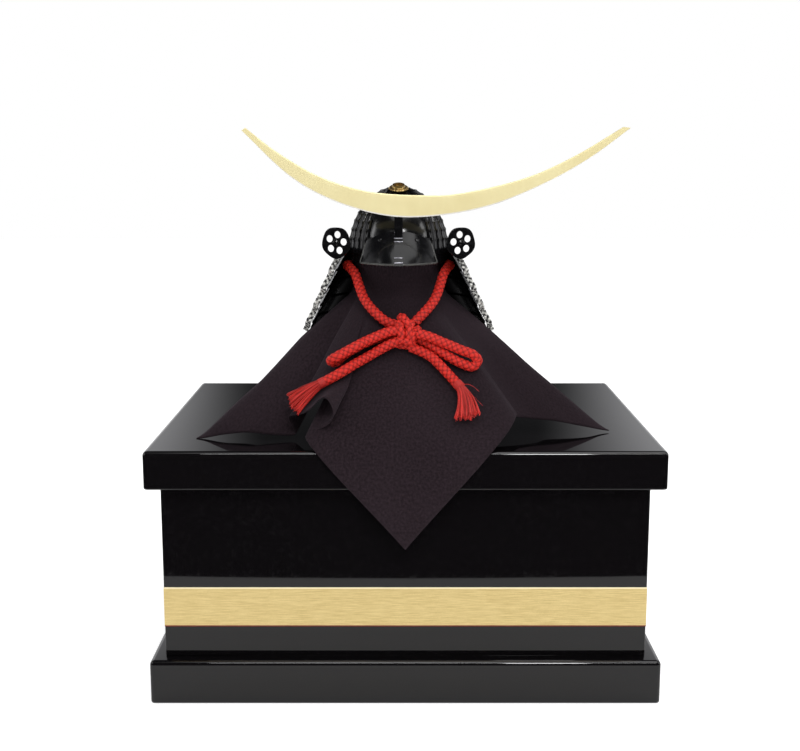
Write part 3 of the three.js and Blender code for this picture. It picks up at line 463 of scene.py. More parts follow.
def cloth_point(turn, distance):
    """A point of the cloth: distance along the line at that turn, from the crown. The line goes
    over the head's ellipse, down its side, straight to where it reaches the lid, and along it or
    over its edge. It swings from its own turn to where it falls within the upper part of the slope.
    """
    heading = np.radians(fold(1, turn))
    held = np.clip(fold(3, turn), 0, 1)
    free = fold(2, turn) * EDGE_AHEAD
    edge = (EDGE_AHEAD + CLOTH_HANG - CLOTH_LIFT) / np.maximum(np.cos(heading), 0.3)
    reach = np.where(np.cos(heading) > 0.3, free + (edge - free) * held, free)
    bow = np.linspace(0, np.pi / 2, 20)
    head = np.stack([HEAD_RADIUS * np.sin(bow), HEAD_LEVEL + HEAD_RISE * np.cos(bow)], -1)
    corners = np.broadcast_to(np.vstack([head, (HEAD_RADIUS, FALL_LEVEL)]), turn.shape + (21, 2))
    landing = np.stack([reach, np.full_like(reach, CLOTH_LIFT)], -1)[:, None]
    corners = np.concatenate([corners, landing, landing + (CLOTH_SIDE, 0)], 1)
    lengths = np.linalg.norm(np.diff(corners, axis=1), axis=-1)
    starts = np.concatenate([np.zeros((len(turn), 1)), np.cumsum(lengths, 1)], 1)
    s = np.abs(distance)
    gone = np.clip(s[..., None] - starts[:, None, :-1], 0, lengths[:, None])
    radius, level = (corners[:, :1] + np.einsum("nmk,nkc->nmc", gone, np.diff(corners, axis=1)
                                                / lengths[..., None])).transpose(2, 0, 1)
    fall, land = starts[:, 20:21], starts[:, 21:22]
    t = np.clip((s - fall) / (0.62 * (land - fall)), 0, 1)
    swing = t * t * (3 - 2 * t)
    angle = np.radians(turn)[:, None] * (1 - swing) + heading[:, None] * swing
    lying = np.stack([radius * np.sin(angle), -radius * np.cos(angle), level], -1)
    over = s - land
    slant = (np.sin(heading) * (reach - HEAD_RADIUS) / lengths[:, 20])[:, None]
    hanging = np.stack([
        (reach * np.sin(heading))[:, None] + over * slant,
        np.broadcast_to(-EDGE_AHEAD - CLOTH_HANG, over.shape),
        CLOTH_LIFT - over * np.sqrt(1 - slant**2),
    ], -1)
    return np.where(((held[:, None] > 0.5) & (over > 0))[..., None], hanging, lying)


def flutes(turn, distance):
    """How far the cloth stands off its cone, by waves of the turn: small pleats where it is gathered
    under the helmet, and flutes down its back and sides, which fall further in than out."""
    aside = np.clip((np.abs(turn) - 86) / 18, 0, 1)[:, None]
    pleat_end = 92 + 48 * aside
    gather = np.clip((distance - 30) / 20, 0, 1) * np.clip((pleat_end - distance) / 14, 0, 1)
    pleats = PLEAT_DEPTH * np.cos(np.radians(turn * PLEATS))[:, None] * gather
    wave = np.cos(np.radians(turn * FLUTES) + 0.6 * np.sin(np.radians(turn * 3)))[:, None] - 0.45
    return pleats + FLUTE_DEPTH * aside * wave * np.clip((distance - 114) / 62, 0, 1) ** 0.9


corner_turn = math.degrees(math.atan2(HALF_DIAGONAL, CLOTH_LEAD))
turns = np.unique(np.concatenate([np.linspace(-180, 180, 481), np.linspace(-76, -14, 83),
                                  CLOTH_TWIST + np.array([-corner_turn, 0, corner_turn])]))
hem = hem_distance(turns)
share = np.linspace(0.006, 1, 86)
distance = share[None] * hem[:, None]
shifts = np.linspace(-CLOTH_BEND, CLOTH_BEND, 9)
cloth = np.mean([cloth_point(turns, distance + shift) for shift in shifts], axis=0)
flat_angle = np.radians(turns)[:, None]
flat = np.stack([distance * np.sin(flat_angle), -distance * np.cos(flat_angle)], -1)
ripple = (0.45 * np.sin(flat[..., 0] / 21 + 1.7 * np.sin(flat[..., 1] / 37))
          * np.sin(flat[..., 1] / 26 + 1.3 * np.sin(flat[..., 0] / 41)) * np.clip((share - 0.3) / 0.3, 0, 1))
cloth[..., 2] += np.clip(ripple, 0, 1) * (cloth[..., 2] > 0)
curls = sum(rise * np.exp(-(((turns - at) / wide) ** 2)) for at, wide, rise in HEM_CURLS)
lift_of_hem = curls[:, None] * np.clip((share - 0.8) / 0.2, 0, 1)[None] ** 1.6
cloth[..., 2] += lift_of_hem
cloth[..., :2] += (flutes(turns, distance) + 0.35 * lift_of_hem)[..., None] * unit(cloth[..., :2])
crepe = Finish("aubergine_crepe", Roughness=0.95, Sheen_Weight=0.07, Sheen_Roughness=0.5,
               Sheen_Tint=(0.60, 0.46, 0.56, 1), Specular_IOR_Level=0.12)
pebble = crepe.noise(380.0, 3.0, 0.65, source="UV")
slub = crepe.noise(900.0, 2.0, 0.5, (0.25, 1, 1), "UV")
cloud = crepe.noise(9.0, 2.0, source="UV")
grain = crepe.band(pebble, 0.34, 0.68)
colour = crepe.blend((0.0062, 0.0036, 0.0048, 1), (0.024, 0.0150, 0.0195, 1), 0.75 * grain + 0.25 * slub)
colour = crepe.blend(colour, (0.034, 0.023, 0.029, 1), crepe.band(cloud, 0.3, 0.8) * 0.3)
crepe.drive(Base_Color=colour, Normal=crepe.bump(0.75 * pebble + 0.25 * slub, 0.55, 0.0009))
drape = skin("crepe_cloth", cloth + STAND, crepe, ["draped_cloth"], "crepe_cloth", uv=flat / 1000,
             closed=False, flip=True)
solid = drape.modifiers.new("thickness", "SOLIDIFY")
solid.thickness = 0.0008
solid.offset = 0

# Stand: a turned wooden foot, post and domed head under the cloth. From behind, its foot shows.
stand_profile = np.array([
    (0, 0), (58, 0), (60, 2), (60, 6), (58.5, 7.6), (56, 8), (16, 8), (12, 9.5), (10, 13), (9, 18), (9, 118),
    (11, 124), (30, 127), (38.5, 131), (39, 136), (39, 160), (37, 180), (31, 196), (20, 208), (8, 213),
    (0, 213.6),
])
pale_wood = Finish("stand_wood", Roughness=0.45)
rings = pale_wood.node(
    "ShaderNodeTexWave", {"bands_direction": "Y"},
    {"Vector": pale_wood.place((1, 1, 0.15)), "Scale": 60.0, "Distortion": 5.0, "Detail": 3.0})
pale_wood.drive(Base_Color=pale_wood.blend((0.42, 0.27, 0.14, 1), (0.62, 0.45, 0.26, 1), rings),
                Normal=pale_wood.bump(rings, 0.1, 0.0003))
turn = circle(97)
lathe = stand_profile[:, None, 0, None] * np.stack([np.cos(turn), np.sin(turn), 0 * turn], -1)[None]
lathe[..., 2] += stand_profile[:, None, 1]
skin("stand_turned", lathe + STAND, pale_wood, ["display_stand"], "stand_wood", sharp=40)

# Storage chest: boards under piano-black lacquer. The lid and the plinth stand 12.5 mm proud of
# the case, with rounded edges that catch the light.
CHEST = {"half_width": 225.0, "half_depth": 165.0}


def board(levels, half_width, half_depth, corner):
    """A board with rounded edges: rounded rectangles stacked along the height. levels holds the
    inset from the full size and the height of each; the corners are quarter circles, less the inset.
    """
    quarter = np.linspace(0, np.pi / 2, 7)
    angle = np.concatenate([quarter + k * np.pi / 2 for k in range(4)] + [[2 * np.pi]])
    signs = np.repeat(np.array([(1, 1), (-1, 1), (-1, -1), (1, -1)]), 7, axis=0)
    signs = np.vstack([signs, signs[:1]])
    middle = signs * (half_width - corner, half_depth - corner)
    inset, level = np.asarray(levels, float).T
    radius = np.maximum(corner - inset, 0)[:, None, None]
    shrink = np.maximum(inset - corner, 0)[:, None, None]
    place = signs * np.maximum(np.abs(middle) - shrink, 0)
    place = place + radius * np.stack([np.cos(angle), np.sin(angle)], -1)
    return np.concatenate([place, np.broadcast_to(level[:, None, None], place.shape[:2] + (1,))], -1)


def rounded_levels(low, high, radius, lower_radius):
    """Levels for a board from low to high, its edges quarter circles, closed to its middle."""
    bow = np.linspace(0, np.pi / 2, 7)
    bottom = [(lower_radius * (1 - math.sin(a)), low + lower_radius * (1 - math.cos(a))) for a in bow]
    top = [(radius * (1 - math.cos(a)), high - radius * (1 - math.sin(a))) for a in bow]
    return [(400, low)] + bottom + top + [(400, high)]


lacquer = Finish("chest_black_lacquer", Specular_IOR_Level=0.5, Coat_Weight=0.6, Coat_Roughness=0.02)
sag = lacquer.noise(16.0, 2.0)
dust = lacquer.noise(260.0, 4.0, 0.7)
lacquer.drive(
    Base_Color=lacquer.blend((0.0035, 0.003, 0.0035, 1), (0.010, 0.009, 0.010, 1),
                             lacquer.band(dust, 0.55, 0.8)),
    Roughness=0.035 + 0.10 * lacquer.band(dust, 0.5, 0.85),
    Normal=lacquer.bump(sag, 0.02, 0.002))
# each part's foot and top, its edges' radii above and below, how far it stands back, its corners'
# radius and the solids that it stands for
for part, low, high, above, below, back, corner, boards in (
        ("lid", 194.3, 228, 4.0, 1.5, 0, 4.0, ["lid"]),
        ("case", 39.2, 194.1, 0.6, 0.6, 12.5, 1.2,
         ["front_board", "back_board", "left_board", "right_board", "floor_board"]),
        ("plinth", 0, 39, 4.0, 1.0, 0, 4.0, ["plinth"])):
    shape = board(rounded_levels(low, high, above, below), CHEST["half_width"] - back,
                  CHEST["half_depth"] - back, corner)
    skin(f"chest_{part}_lacquered", shape, lacquer, ["chest_" + name for name in boards], "chest_lacquer",
         sharp=40)

# Gold band: a strip of gold leaf across the case's front, with a fine horizontal grain, a painted
# highlight along its upper edge and a reddish lower one.
BAND = {"half_length": 212.5, "face": -152.55, "low": 67, "height": 36}
gold_leaf = Finish("gold_leaf_band", Metallic=0.25)
fibre = gold_leaf.noise(60.0, 5.0, 0.7, stretch=(1, 1, 22))
fleck = gold_leaf.noise(300.0, 3.0, 0.6, stretch=(3, 1, 12))
gold = gold_leaf.blend((0.58, 0.42, 0.155, 1), (0.86, 0.68, 0.31, 1),
                       gold_leaf.band(0.6 * fibre + 0.4 * fleck, 0.36, 0.62))
level = gold_leaf.drawn("level")
# Painted highlight: the top rounding of the strip is painted a pale bright gold.
gold = gold_leaf.blend(gold, (0.98, 0.86, 0.55, 1), level > 0.965)
gold = gold_leaf.blend(gold, (0.28, 0.05, 0.03, 1), level < 0.03)
gold_leaf.drive(Base_Color=gold, Roughness=0.36 + 0.25 * fleck,
                Normal=gold_leaf.bump(fibre, 0.25, 0.0004))
across = np.linspace(-BAND["half_length"], BAND["half_length"], 60)
rise = np.array([0, 0, 0.015, 0.05, 0.3, 0.7, 0.95, 0.985, 1, 1])
proud_by = np.array([0, 0.45, 0.6, 0.6, 0.6, 0.6, 0.6, 0.6, 0.45, 0])
strip = np.stack(np.broadcast_arrays(across[None], BAND["face"] - proud_by[:, None],
                                     BAND["low"] + BAND["height"] * rise[:, None]), -1)
skin("gold_leaf_strip", strip, gold_leaf, ["chest_gold_band"], "gold_band", closed=False, level=rise[:, None])

# Bowl: iron plates joined along raised ribs, under black lacquer, with a smooth front plate. The
# ribs run from the rim to the crown, and each carries a row of small rivets. The strips, rivets and
# bosses beside it, and the crest's holder, show their solids in the same lacquer.
BOWL = {"width": 91.0, "length": 104.0, "height": 60.0, "wall": 1.8, "front": 42.0, "ribs": 24, "rib": 1.1,
        "rivets": 11}
helmet_lacquer = Finish("helmet_black_lacquer", Specular_IOR_Level=0.4, Coat_Weight=0.3, Coat_Roughness=0.10)
worn = helmet_lacquer.noise(180.0, 4.0, 0.65)
swell = helmet_lacquer.noise(60.0, 2.0)
helmet_lacquer.drive(
    Base_Color=helmet_lacquer.blend((0.003, 0.003, 0.0035, 1), (0.010, 0.010, 0.012, 1),
                                    helmet_lacquer.band(worn, 0.5, 0.8)),
    Roughness=0.20 + 0.08 * helmet_lacquer.band(worn, 0.45, 0.85),
    Normal=helmet_lacquer.bump(0.6 * swell + 0.4 * worn, 0.10, 0.0006))


def bowl_point(angle, lift, out):
    """A point of the bowl: angle from the front in degrees, lift from 0 at the rim to 1 at the
    crown, on an ellipsoid, moved out along its normal."""
    angle, climb = np.radians(angle), lift * np.pi / 2
    half = np.array([BOWL["width"] / 2, BOWL["length"] / 2, BOWL["height"]])
    way = np.stack(np.broadcast_arrays(np.sin(angle) * np.cos(climb), -np.cos(angle) * np.cos(climb),
                                       np.sin(climb)), -1)
    return half * way + unit(way / half) * np.asarray(out)[..., None]


angle = np.linspace(0, 360, 721)
lift = np.linspace(0, 1, 91)
rib_span = (360 - 2 * BOWL["front"]) / BOWL["ribs"]
off_rib = np.abs((angle - BOWL["front"] + rib_span / 2) % rib_span - rib_span / 2) / rib_span
ribbed = (angle >= BOWL["front"] - 0.5) & (angle <= 360 - BOWL["front"] + 0.5)
rib = BOWL["rib"] * np.exp(-(off_rib / 0.11) ** 2) * ribbed
sag_between = -0.25 * np.sin(np.pi * np.clip(off_rib * 2, 0, 1)) * ribbed
rivet_row = np.exp(-((np.abs((lift * BOWL["rivets"]) % 1 - 0.5) / 0.16) ** 2))
rivets = 0.7 * np.exp(-(off_rib / 0.10) ** 2)[None] * rivet_row[:, None] * ribbed * (lift < 0.86)[:, None]
out = (rib + sag_between)[None] * (1 - lift[:, None] ** 4) + rivets
shell = bowl_point(angle[None], lift[:, None], out)
inner = bowl_point(angle[None], lift[::-1][:, None], -BOWL["wall"])
inner[-1, :, 2] = 0
skin("bowl_ribbed", np.concatenate([shell[::-1], inner[::-5]]) + HELMET, helmet_lacquer, ["helmet_bowl"],
     "helmet_lacquer", sharp=60)
for node in ("front_strip_left", "front_strip_right", "waist_band", "peak_rivet_left", "peak_rivet_right",
             "turnback_boss_left", "turnback_boss_right", "crest_holder"):
    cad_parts[node].data.materials.clear()
    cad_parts[node].data.materials.append(helmet_lacquer.material)

# Crown fitting: a ring of gilt brass round the hole at the top of the bowl, pressed in steps, with
# petals along its edge.
CROWN = {"ahead": 15, "radius": 8.7, "height": 3.8, "petals": 16}
# its section, as shares of the radius and of the height, from the hole out and back underneath
crown_section = np.array([
    (0.30, 0.30), (0.42, 0.32), (0.46, 0.60), (0.47, 1.0), (0.52, 1.06), (0.58, 1.06), (0.64, 1.0),
    (0.66, 0.55), (0.70, 0.45), (0.78, 0.46), (0.88, 0.40), (0.97, 0.24), (1.0, 0.12), (0.97, 0.0),
    (0.30, 0.0), (0.30, 0.30),
])
gilt = Finish("gilt_brass", Metallic=1.0)
tarnish = gilt.noise(320.0, 3.0, 0.6)
gilt.drive(Base_Color=gilt.blend((0.62, 0.44, 0.17, 1), (0.30, 0.19, 0.07, 1),
                                 gilt.band(tarnish, 0.45, 0.75)),
           Roughness=0.2 + 0.3 * tarnish)
half_length = BOWL["length"] / 2
crown_lift = math.acos(CROWN["ahead"] / half_length)
tilt = math.atan(BOWL["height"] * CROWN["ahead"] / half_length**2 / math.sin(crown_lift))
crown_at = bowl_point(0, crown_lift / (math.pi / 2), 1.4)
share, level = crown_section.T[..., None]
turn = circle(193)
petal = 1 + 0.07 * np.abs(np.sin(CROWN["petals"] / 2 * turn)) * np.clip((share - 0.6) / 0.3, 0, 1)
radius = CROWN["radius"] * share * petal
ring = np.stack([radius * np.cos(turn), radius * np.sin(turn), CROWN["height"] * level * np.ones(193)], -1)
lean = np.array([(1, 0, 0), (0, math.cos(tilt), -math.sin(tilt)), (0, math.sin(tilt), math.cos(tilt))])
skin("crown_petal_ring", ring @ lean.T + crown_at + HELMET, gilt, ["crown_fitting"], "brass_fittings",
     sharp=50)

# Peak: one curved iron plate in black lacquer, riveted under the bowl's front. Its fine raised rim
# along the edge is painted a mottled grey, a painted highlight.
PEAK = {"width": 69.0, "reach": 22.0, "top": 21.0, "edge": -6.5, "thick": 1.5, "side": 39, "drop": 9,
        "back": 25, "bulge": 2.2}


def peak_point(across, down, out):
    """A point of the peak: across from -1 to 1, down from the bowl to the edge. It goes straight
    from a curve on the bowl to the edge, and bulges forward between."""
    rise = np.arcsin((PEAK["top"] - PEAK["drop"] * across**2) / BOWL["height"]) / (np.pi / 2)
    top = bowl_point(across * PEAK["side"], rise, 0.3 + out)
    ahead = -BOWL["length"] / 2 - PEAK["reach"] + PEAK["back"] * across**2 - out
    edge = np.stack([across * PEAK["width"] / 2, ahead, np.full_like(across, PEAK["edge"])], -1)
    point = top + (edge - top) * down[..., None]
    point[..., 1] -= PEAK["bulge"] * np.sin(down * np.pi)
    return point


across, down = np.meshgrid(np.linspace(-1, 1, 97), np.linspace(0, 1, 49), indexing="ij")
face = peak_point(across, down, PEAK["thick"])
back = peak_point(across, down, 0)
skin("peak_plate", np.concatenate([back[:, :1], face, back[:, ::-1]], 1) + HELMET, helmet_lacquer, ["peak"],
     "helmet_lacquer", sharp=50)
# Painted highlight: the rim's lacquer is painted a mottled grey where its edge would catch the light.
rim_highlight_lacquer = Finish("rim_painted_highlight_lacquer", Roughness=0.24)
rim_highlight_mottle = rim_highlight_lacquer.noise(150.0, 2.0)
rim_highlight_lacquer.drive(Base_Color=rim_highlight_lacquer.blend((0.02, 0.02, 0.019, 1), (0.10, 0.10, 0.095, 1), rim_highlight_mottle))
rim_across = np.concatenate([np.full(20, -1.0), np.linspace(-1, 1, 90), np.full(20, 1.0)])
rim_down = np.concatenate([np.linspace(0.12, 1, 20), np.full(90, 1.0), np.linspace(1, 0.12, 20)])
rim_line, _ = course(peak_point(rim_across, rim_down, PEAK["thick"] / 2)[::3] + HELMET, 0.8)
rim = around_line(rim_line, np.array([0.0, -1.0, 0.35]), circle(13), 1.0)
skin("peak_rim", capped(rim), rim_highlight_lacquer, slot="helmet_lacquer")

# Crest holder: a lacquered strap down the middle of the peak, bent up behind the crest, with clips at
# its top and foot, coloured pale as a painted highlight.
HOLDER = {"half_width": 3.9, "front": 1.8}
# Painted highlight: the clips are coloured light grey metal, so that they read bright under any light.
bright = Finish("clip_painted_highlight", Roughness=0.28, Metallic=0.55)
clip_highlight_mottle = bright.noise(700.0, 2.0)
bright.drive(Base_Color=bright.blend((0.30, 0.29, 0.34, 1), (0.78, 0.77, 0.84, 1),
                                     bright.band(clip_highlight_mottle, 0.4, 0.6)))
ends = np.array([-1, -0.92, 0, 0.92, 1])[:, None] * np.array([HOLDER["half_width"], 0, 0])
clips = []
for down_by, thickness in ((0.03, 0.75), (0.10, 0.35), (0.20, 0.42), (0.30, 0.42), (0.78, 0.4), (0.93, 0.7)):
    middle = peak_point(np.zeros(1), np.array([down_by]), PEAK["thick"])[0] + HELMET
    radius = np.array([0.6, 1, 1, 1, 0.6])[:, None] * thickness
    clips.append(capped(around_line(middle + ends - (0, HOLDER["front"], 0), np.array([0.0, -1.0, 0.0]),
                                    circle(13), radius)))
skin("crest_holder_clips", clips, bright, slot="brass_fittings", sharp=60)

# Crest: a thin crescent of pale gilt plate, lightly brushed, with a painted highlight along the bevel
# of its lower edge and a few fine creases drawn as painted shade.
CREST = {"left": 137.5, "right": 203.5, "base": 36.0, "rise": 76.5, "thick": 1.3, "place": -62.5}
# its edges from the left point to the right one, as shares of its width and of its rise
crest_lower = np.array([(0, 0.97), (0.12, 0.46), (0.236, 0.17), (0.375, 0), (0.51, 0.005), (0.65, 0.13),
                        (0.79, 0.39), (0.9, 0.67), (1, 1)])
crest_upper = np.array([(0.01, 1), (0.093, 0.72), (0.2, 0.45), (0.325, 0.28), (0.475, 0.235), (0.58, 0.27),
                        (0.735, 0.44), (0.86, 0.69), (0.98, 1.01)])


def crest_edge(rows, count):
    """Points along one edge of the crest, evenly spaced."""
    line, _ = course(np.column_stack([rows, np.zeros(len(rows))]), 0.002)
    picked = line[np.linspace(0, len(line) - 1, count).round().astype(int)]
    return np.stack([-CREST["left"] + picked[:, 0] * (CREST["left"] + CREST["right"]), np.zeros(count),
                     CREST["base"] + picked[:, 1] * CREST["rise"]], -1)


low_edge, high_edge = crest_edge(crest_lower, 301), crest_edge(crest_upper, 301)
# its section: how far up from the lower edge, how far back in shares of its thickness, and the painted
# highlight of the bevel
section = np.array([
    (0, 0, 1), (0.01, -0.35, 1), (0.045, -0.5, 1), (0.075, -0.64, 0), (0.12, -0.65, 0), (0.3, -0.65, 0),
    (0.5, -0.65, 0), (0.7, -0.65, 0), (0.93, -0.65, 0), (0.98, -0.5, 0), (1, -0.3, 0), (1, 0.3, 0),
    (0.98, 0.65, 0), (0.5, 0.65, 0), (0.03, 0.65, 0), (0, 0, 0.5),
])
plate = low_edge[:, None] + (high_edge - low_edge)[:, None] * section[:, :1]
plate[..., 1] += CREST["place"] + section[:, 1] * CREST["thick"]
pale_gold = Finish("pale_gilt_crest", Metallic=0.25)
brushed = pale_gold.noise(40.0, 2.0, stretch=(5, 1, 1))
broad = pale_gold.noise(26.0, 2.0)
# Painted shade: thin dark streaks stand for the shade in fine creases of the plate.
crease_painted_shade = pale_gold.band(pale_gold.noise(34.0, 2.0, 0.4, stretch=(7, 1, 1.2)), 0.72, 0.78)
pale = pale_gold.blend((0.93, 0.83, 0.47, 1), (0.86, 0.75, 0.40, 1),
                       pale_gold.band(0.25 * brushed + 0.75 * broad, 0.35, 0.7))
pale = pale_gold.blend(pale, (0.36, 0.30, 0.16, 1), 0.55 * crease_painted_shade)
# Painted highlight: along the lower bevel the colour is near white and the plate less rough.
bevel = pale_gold.drawn("bevel")
pale = pale_gold.blend(pale, (1.0, 0.97, 0.9, 1), bevel)
pale_gold.drive(Base_Color=pale, Roughness=0.34 - 0.18 * bevel, Normal=pale_gold.bump(broad, 0.08, 0.0008))
skin("crescent_plate", plate + HELMET, pale_gold, ["crescent_crest"], "gold_crest", sharp=35,
     bevel=section[:, 2])

# Turnbacks: round lacquered plates at the first row's ends, each cut through with five round holes
# about a domed boss.
TURNBACK = {"radius": 14.2, "thick": 1.3, "x": 56.0, "y": -44.2, "z": 11.0, "yaw": 24.0, "hole": 3.2,
            "ring": 7.5, "bevel": 0.3}
for side, sign in (("left", -1), ("right", 1)):
    plate_curve = bpy.data.curves.new("turnback_outline_" + side, "CURVE")
    plate_curve.dimensions = "2D"
    plate_curve.fill_mode = "BOTH"
    plate_curve.extrude = TURNBACK["thick"] / 2000 - TURNBACK["bevel"] / 1000
    plate_curve.bevel_depth = TURNBACK["bevel"] / 1000
    plate_curve.bevel_resolution = 2
    turn = circle(97)[:-1]
    wavy = (TURNBACK["radius"] - TURNBACK["bevel"]) * (1 + 0.03 * np.cos(5 * turn + np.pi / 2))
    outlines = [wavy[:, None] * np.stack([np.cos(turn), np.sin(turn)], -1)]
    for k in range(5):
        at = math.radians(90 + 10 * sign + 72 * k)
        outlines.append(TURNBACK["ring"] * np.array([math.cos(at), math.sin(at)])
                        + (TURNBACK["hole"] + TURNBACK["bevel"])
                        * np.stack([np.cos(turn[::3]), np.sin(turn[::3])], -1))
    for outline in outlines:
        spline = plate_curve.splines.new("POLY")
        spline.points.add(len(outline) - 1)
        flat_points = np.column_stack([outline / 1000, np.zeros(len(outline)), np.ones(len(outline))])
        spline.points.foreach_set("co", flat_points.ravel())
        spline.use_cyclic_u = True
    drawn = put("turnback_outline_" + side, plate_curve)
    mesh = bpy.data.meshes.new_from_object(drawn.evaluated_get(bpy.context.evaluated_depsgraph_get()))
    bpy.data.objects.remove(drawn)
    points = np.empty(len(mesh.vertices) * 3)
    mesh.vertices.foreach_get("co", points)
    x, y, z = points.reshape(-1, 3).T * 1000
    yaw = math.radians(sign * TURNBACK["yaw"])
    deep = -z - TURNBACK["thick"] / 2
    placed = np.stack([x * math.cos(yaw) - deep * math.sin(yaw) + sign * TURNBACK["x"],
                       x * math.sin(yaw) + deep * math.cos(yaw) + TURNBACK["y"],
                       y + TURNBACK["z"]], -1) + HELMET
    mesh.vertices.foreach_set("co", (placed / 1000).ravel())
    piece_of("turnback_plate_" + side, mesh, helmet_lacquer, ["turnback_" + side], True, 35)

# Neck guard: five flared rows. Each is lacquered scales side by side, their heads scalloped, and
# hangs from the row above on upright black silk braids.
LAME = {"wall": 1.4, "height": 20.5, "pitch": 17.0, "gap": 0.5, "top": 5.0, "radius": 47.8, "back": 5.5,
        "flare": 0.55}
# how far each row runs straight forward, its scales and the braids that it hangs on
LAME_ROWS = [(46, 60, 0), (32, 66, 49), (24, 72, 54), (14, 78, 59), (1, 84, 64)]


def lame_point(row, way, below, out):
    """A point of a row: way from -1 at the left end, past 0 at the back, to 1 at the right end. Its
    plan is a half ellipse that runs straight forward at both sides, and it flares downward."""
    rounded = np.maximum(np.abs(way) - 0.94, 0) / 0.06
    low = np.minimum(below, LAME["height"] - 3.5 * rounded**2)
    step = LAME["pitch"] * LAME["flare"] - LAME["wall"] - LAME["gap"]
    radius = LAME["radius"] + row * step + low * LAME["flare"] + out
    angle = np.minimum(np.abs(way) / 0.72, 1) * np.pi / 2
    forward = np.maximum((np.abs(way) - 0.72) / 0.28, 0) * LAME_ROWS[row][0]
    side = radius * np.sin(angle) - 0.05 * forward
    return np.stack([np.sign(way) * side, (radius + LAME["back"]) * np.cos(angle) - forward,
                     LAME["top"] - row * LAME["pitch"] - low], -1)


black_silk = Finish("black_silk_lacing", Roughness=0.6, Sheen_Weight=0.4, Sheen_Tint=(0.5, 0.5, 0.6, 1))
ply = black_silk.noise(900.0, 2.0, stretch=(1, 1, 0.35))
black_silk.drive(Base_Color=black_silk.blend((0.006, 0.006, 0.008, 1), (0.035, 0.035, 0.042, 1), ply),
                 Normal=black_silk.bump(ply, 0.3, 0.0002))
for row, (_, scales, braids) in enumerate(LAME_ROWS):
    way, below = np.meshgrid(np.linspace(-1, 1, scales * 10 + 1), np.linspace(0, 1, 25), indexing="ij")
    cell = (way + 1) / 2 * scales % 1
    scallop = 0.9 * np.abs(np.sin(np.pi * cell)) ** 0.5 * np.clip(1 - below * 5, 0, 1)
    lap = 0.32 * (cell - 0.5) * np.clip((0.98 - below) * 12, 0, 1)
    roll = 0.45 * np.exp(-((below - 0.96) / 0.035) ** 2)
    depth = below * LAME["height"] + (0.9 - scallop) * np.clip(1 - below * 5, 0, 1)
    outer = lame_point(row, way, depth, LAME["wall"] / 2 + np.minimum(lap + roll, 0.55))
    inner = lame_point(row, way, depth, -LAME["wall"] / 2)
    skin(f"lame_scales_{row + 1}", np.concatenate([inner[:, :1], outer, inner[:, ::-4]], 1) + HELMET,
         helmet_lacquer, [f"neck_lame_{row + 1}"], "helmet_lacquer", sharp=50)
    if braids:
        wide, fall, at = np.meshgrid(np.linspace(-1, 1, 7), np.linspace(-3.2, 9.0, 12),
                                     np.linspace(-0.93, 0.93, braids), indexing="ij")
        bow = 0.85 * np.sqrt(np.clip(1 - wide**2, 0, 1))
        bow += 0.12 * np.abs(np.sin(fall * 2.4 + np.pi * np.abs(wide)))
        point = lame_point(row, at + wide * 0.36 / braids, np.maximum(fall, 0),
                           LAME["wall"] / 2 + 0.15 + 0.55 * bow)
        point[..., 2] -= np.minimum(fall, 0)
        skin(f"lame_lacing_{row + 1}", point.transpose(2, 0, 1, 3) + HELMET, black_silk, slot="edge_braid",
             closed=False)

# Edge lacing: braids of white and dark silk down both front edges of the rows, each a chain of
# three plies laid round one another.
PLY = {"pitch": 7.2, "aside": 1.75, "out": 0.75, "radius": 1.0, "dye": 3.1}
mottled = Finish("mottled_edge_braid", Roughness=0.6, Sheen_Weight=0.3)
dyed = mottled.drawn("dyed")
mottled.drive(Base_Color=mottled.blend((0.012, 0.012, 0.014, 1), (0.78, 0.78, 0.74, 1), dyed))
for side, sign in (("left", -1), ("right", 1)):
    marks = []
    for row in range(len(LAME_ROWS)):
        for fall in (0.35, 0.9 if row < 4 else 0.55):
            marks.append(lame_point(row, np.array([sign * 0.95]), np.array([fall * LAME["height"]]), 4.8)[0])
    line, run = course(np.array(marks) + HELMET, 0.45)
    sideways = unit(np.cross(unit(np.gradient(line, axis=0)), [0.0, -1.0, 0.0]))
    outward = np.cross(unit(np.gradient(line, axis=0)), sideways)
    plies, dyes = [], []
    for ply in range(3):
        phase = 2 * np.pi * (run / PLY["pitch"] + ply / 3)[:, None]
        ply_line = line + PLY["aside"] * np.sin(phase) * sideways + PLY["out"] * np.sin(2 * phase) * outward
        plies.append(capped(around_line(ply_line, outward, circle(9), PLY["radius"])))
        shade = 0.5 + 0.5 * np.sin(2 * np.pi * (run / PLY["dye"] + ply * 0.37))
        shade += 0.35 * np.sin(run * 1.9 + ply)
        dyes.append(np.pad(np.clip(shade * 1.6 - 0.3, 0, 1), 1)[:, None])
    skin(f"edge_braid_{side}", plies, mottled, [f"edge_lacing_{side}"], "edge_braid", dyed=np.array(dyes))

# Studio: a pale floor under a white wall of light. What the lacquer mirrors is darker, as in a
# darkened room: the floor round the chest and beyond it, and the wall but for two low bright sides.
pale_floor = Finish("pale_floor", Roughness=0.9, Base_Color=(0.9, 0.9, 0.9, 1), Specular_IOR_Level=0.1,
                    Emission_Color=(1, 1, 1, 1), Emission_Strength=0.6)
dim_floor = Finish("dim_floor", Roughness=1.0, Base_Color=(0.56, 0.56, 0.56, 1), Specular_IOR_Level=0.0)
curtain_cloth = Finish("dark_curtain", Roughness=1.0, Base_Color=(0.004, 0.004, 0.004, 1),
                       Specular_IOR_Level=0.0)
FOOTPRINT = (0.2255, 0.1655)
NEAR = (0.5205, 0.4605)
FAR = (6, 6)


def frame_of(inner, outer, level):
    """A flat rectangular frame round the chest, from one half size to another."""
    around = [(-1, -1), (1, -1), (1, 1), (-1, 1)]
    corners = [(x * half[0], y * half[1], level) for half in (inner, outer) for x, y in around]
    return corners, [(k, (k + 1) % 4, 4 + (k + 1) % 4, 4 + k) for k in range(4)]


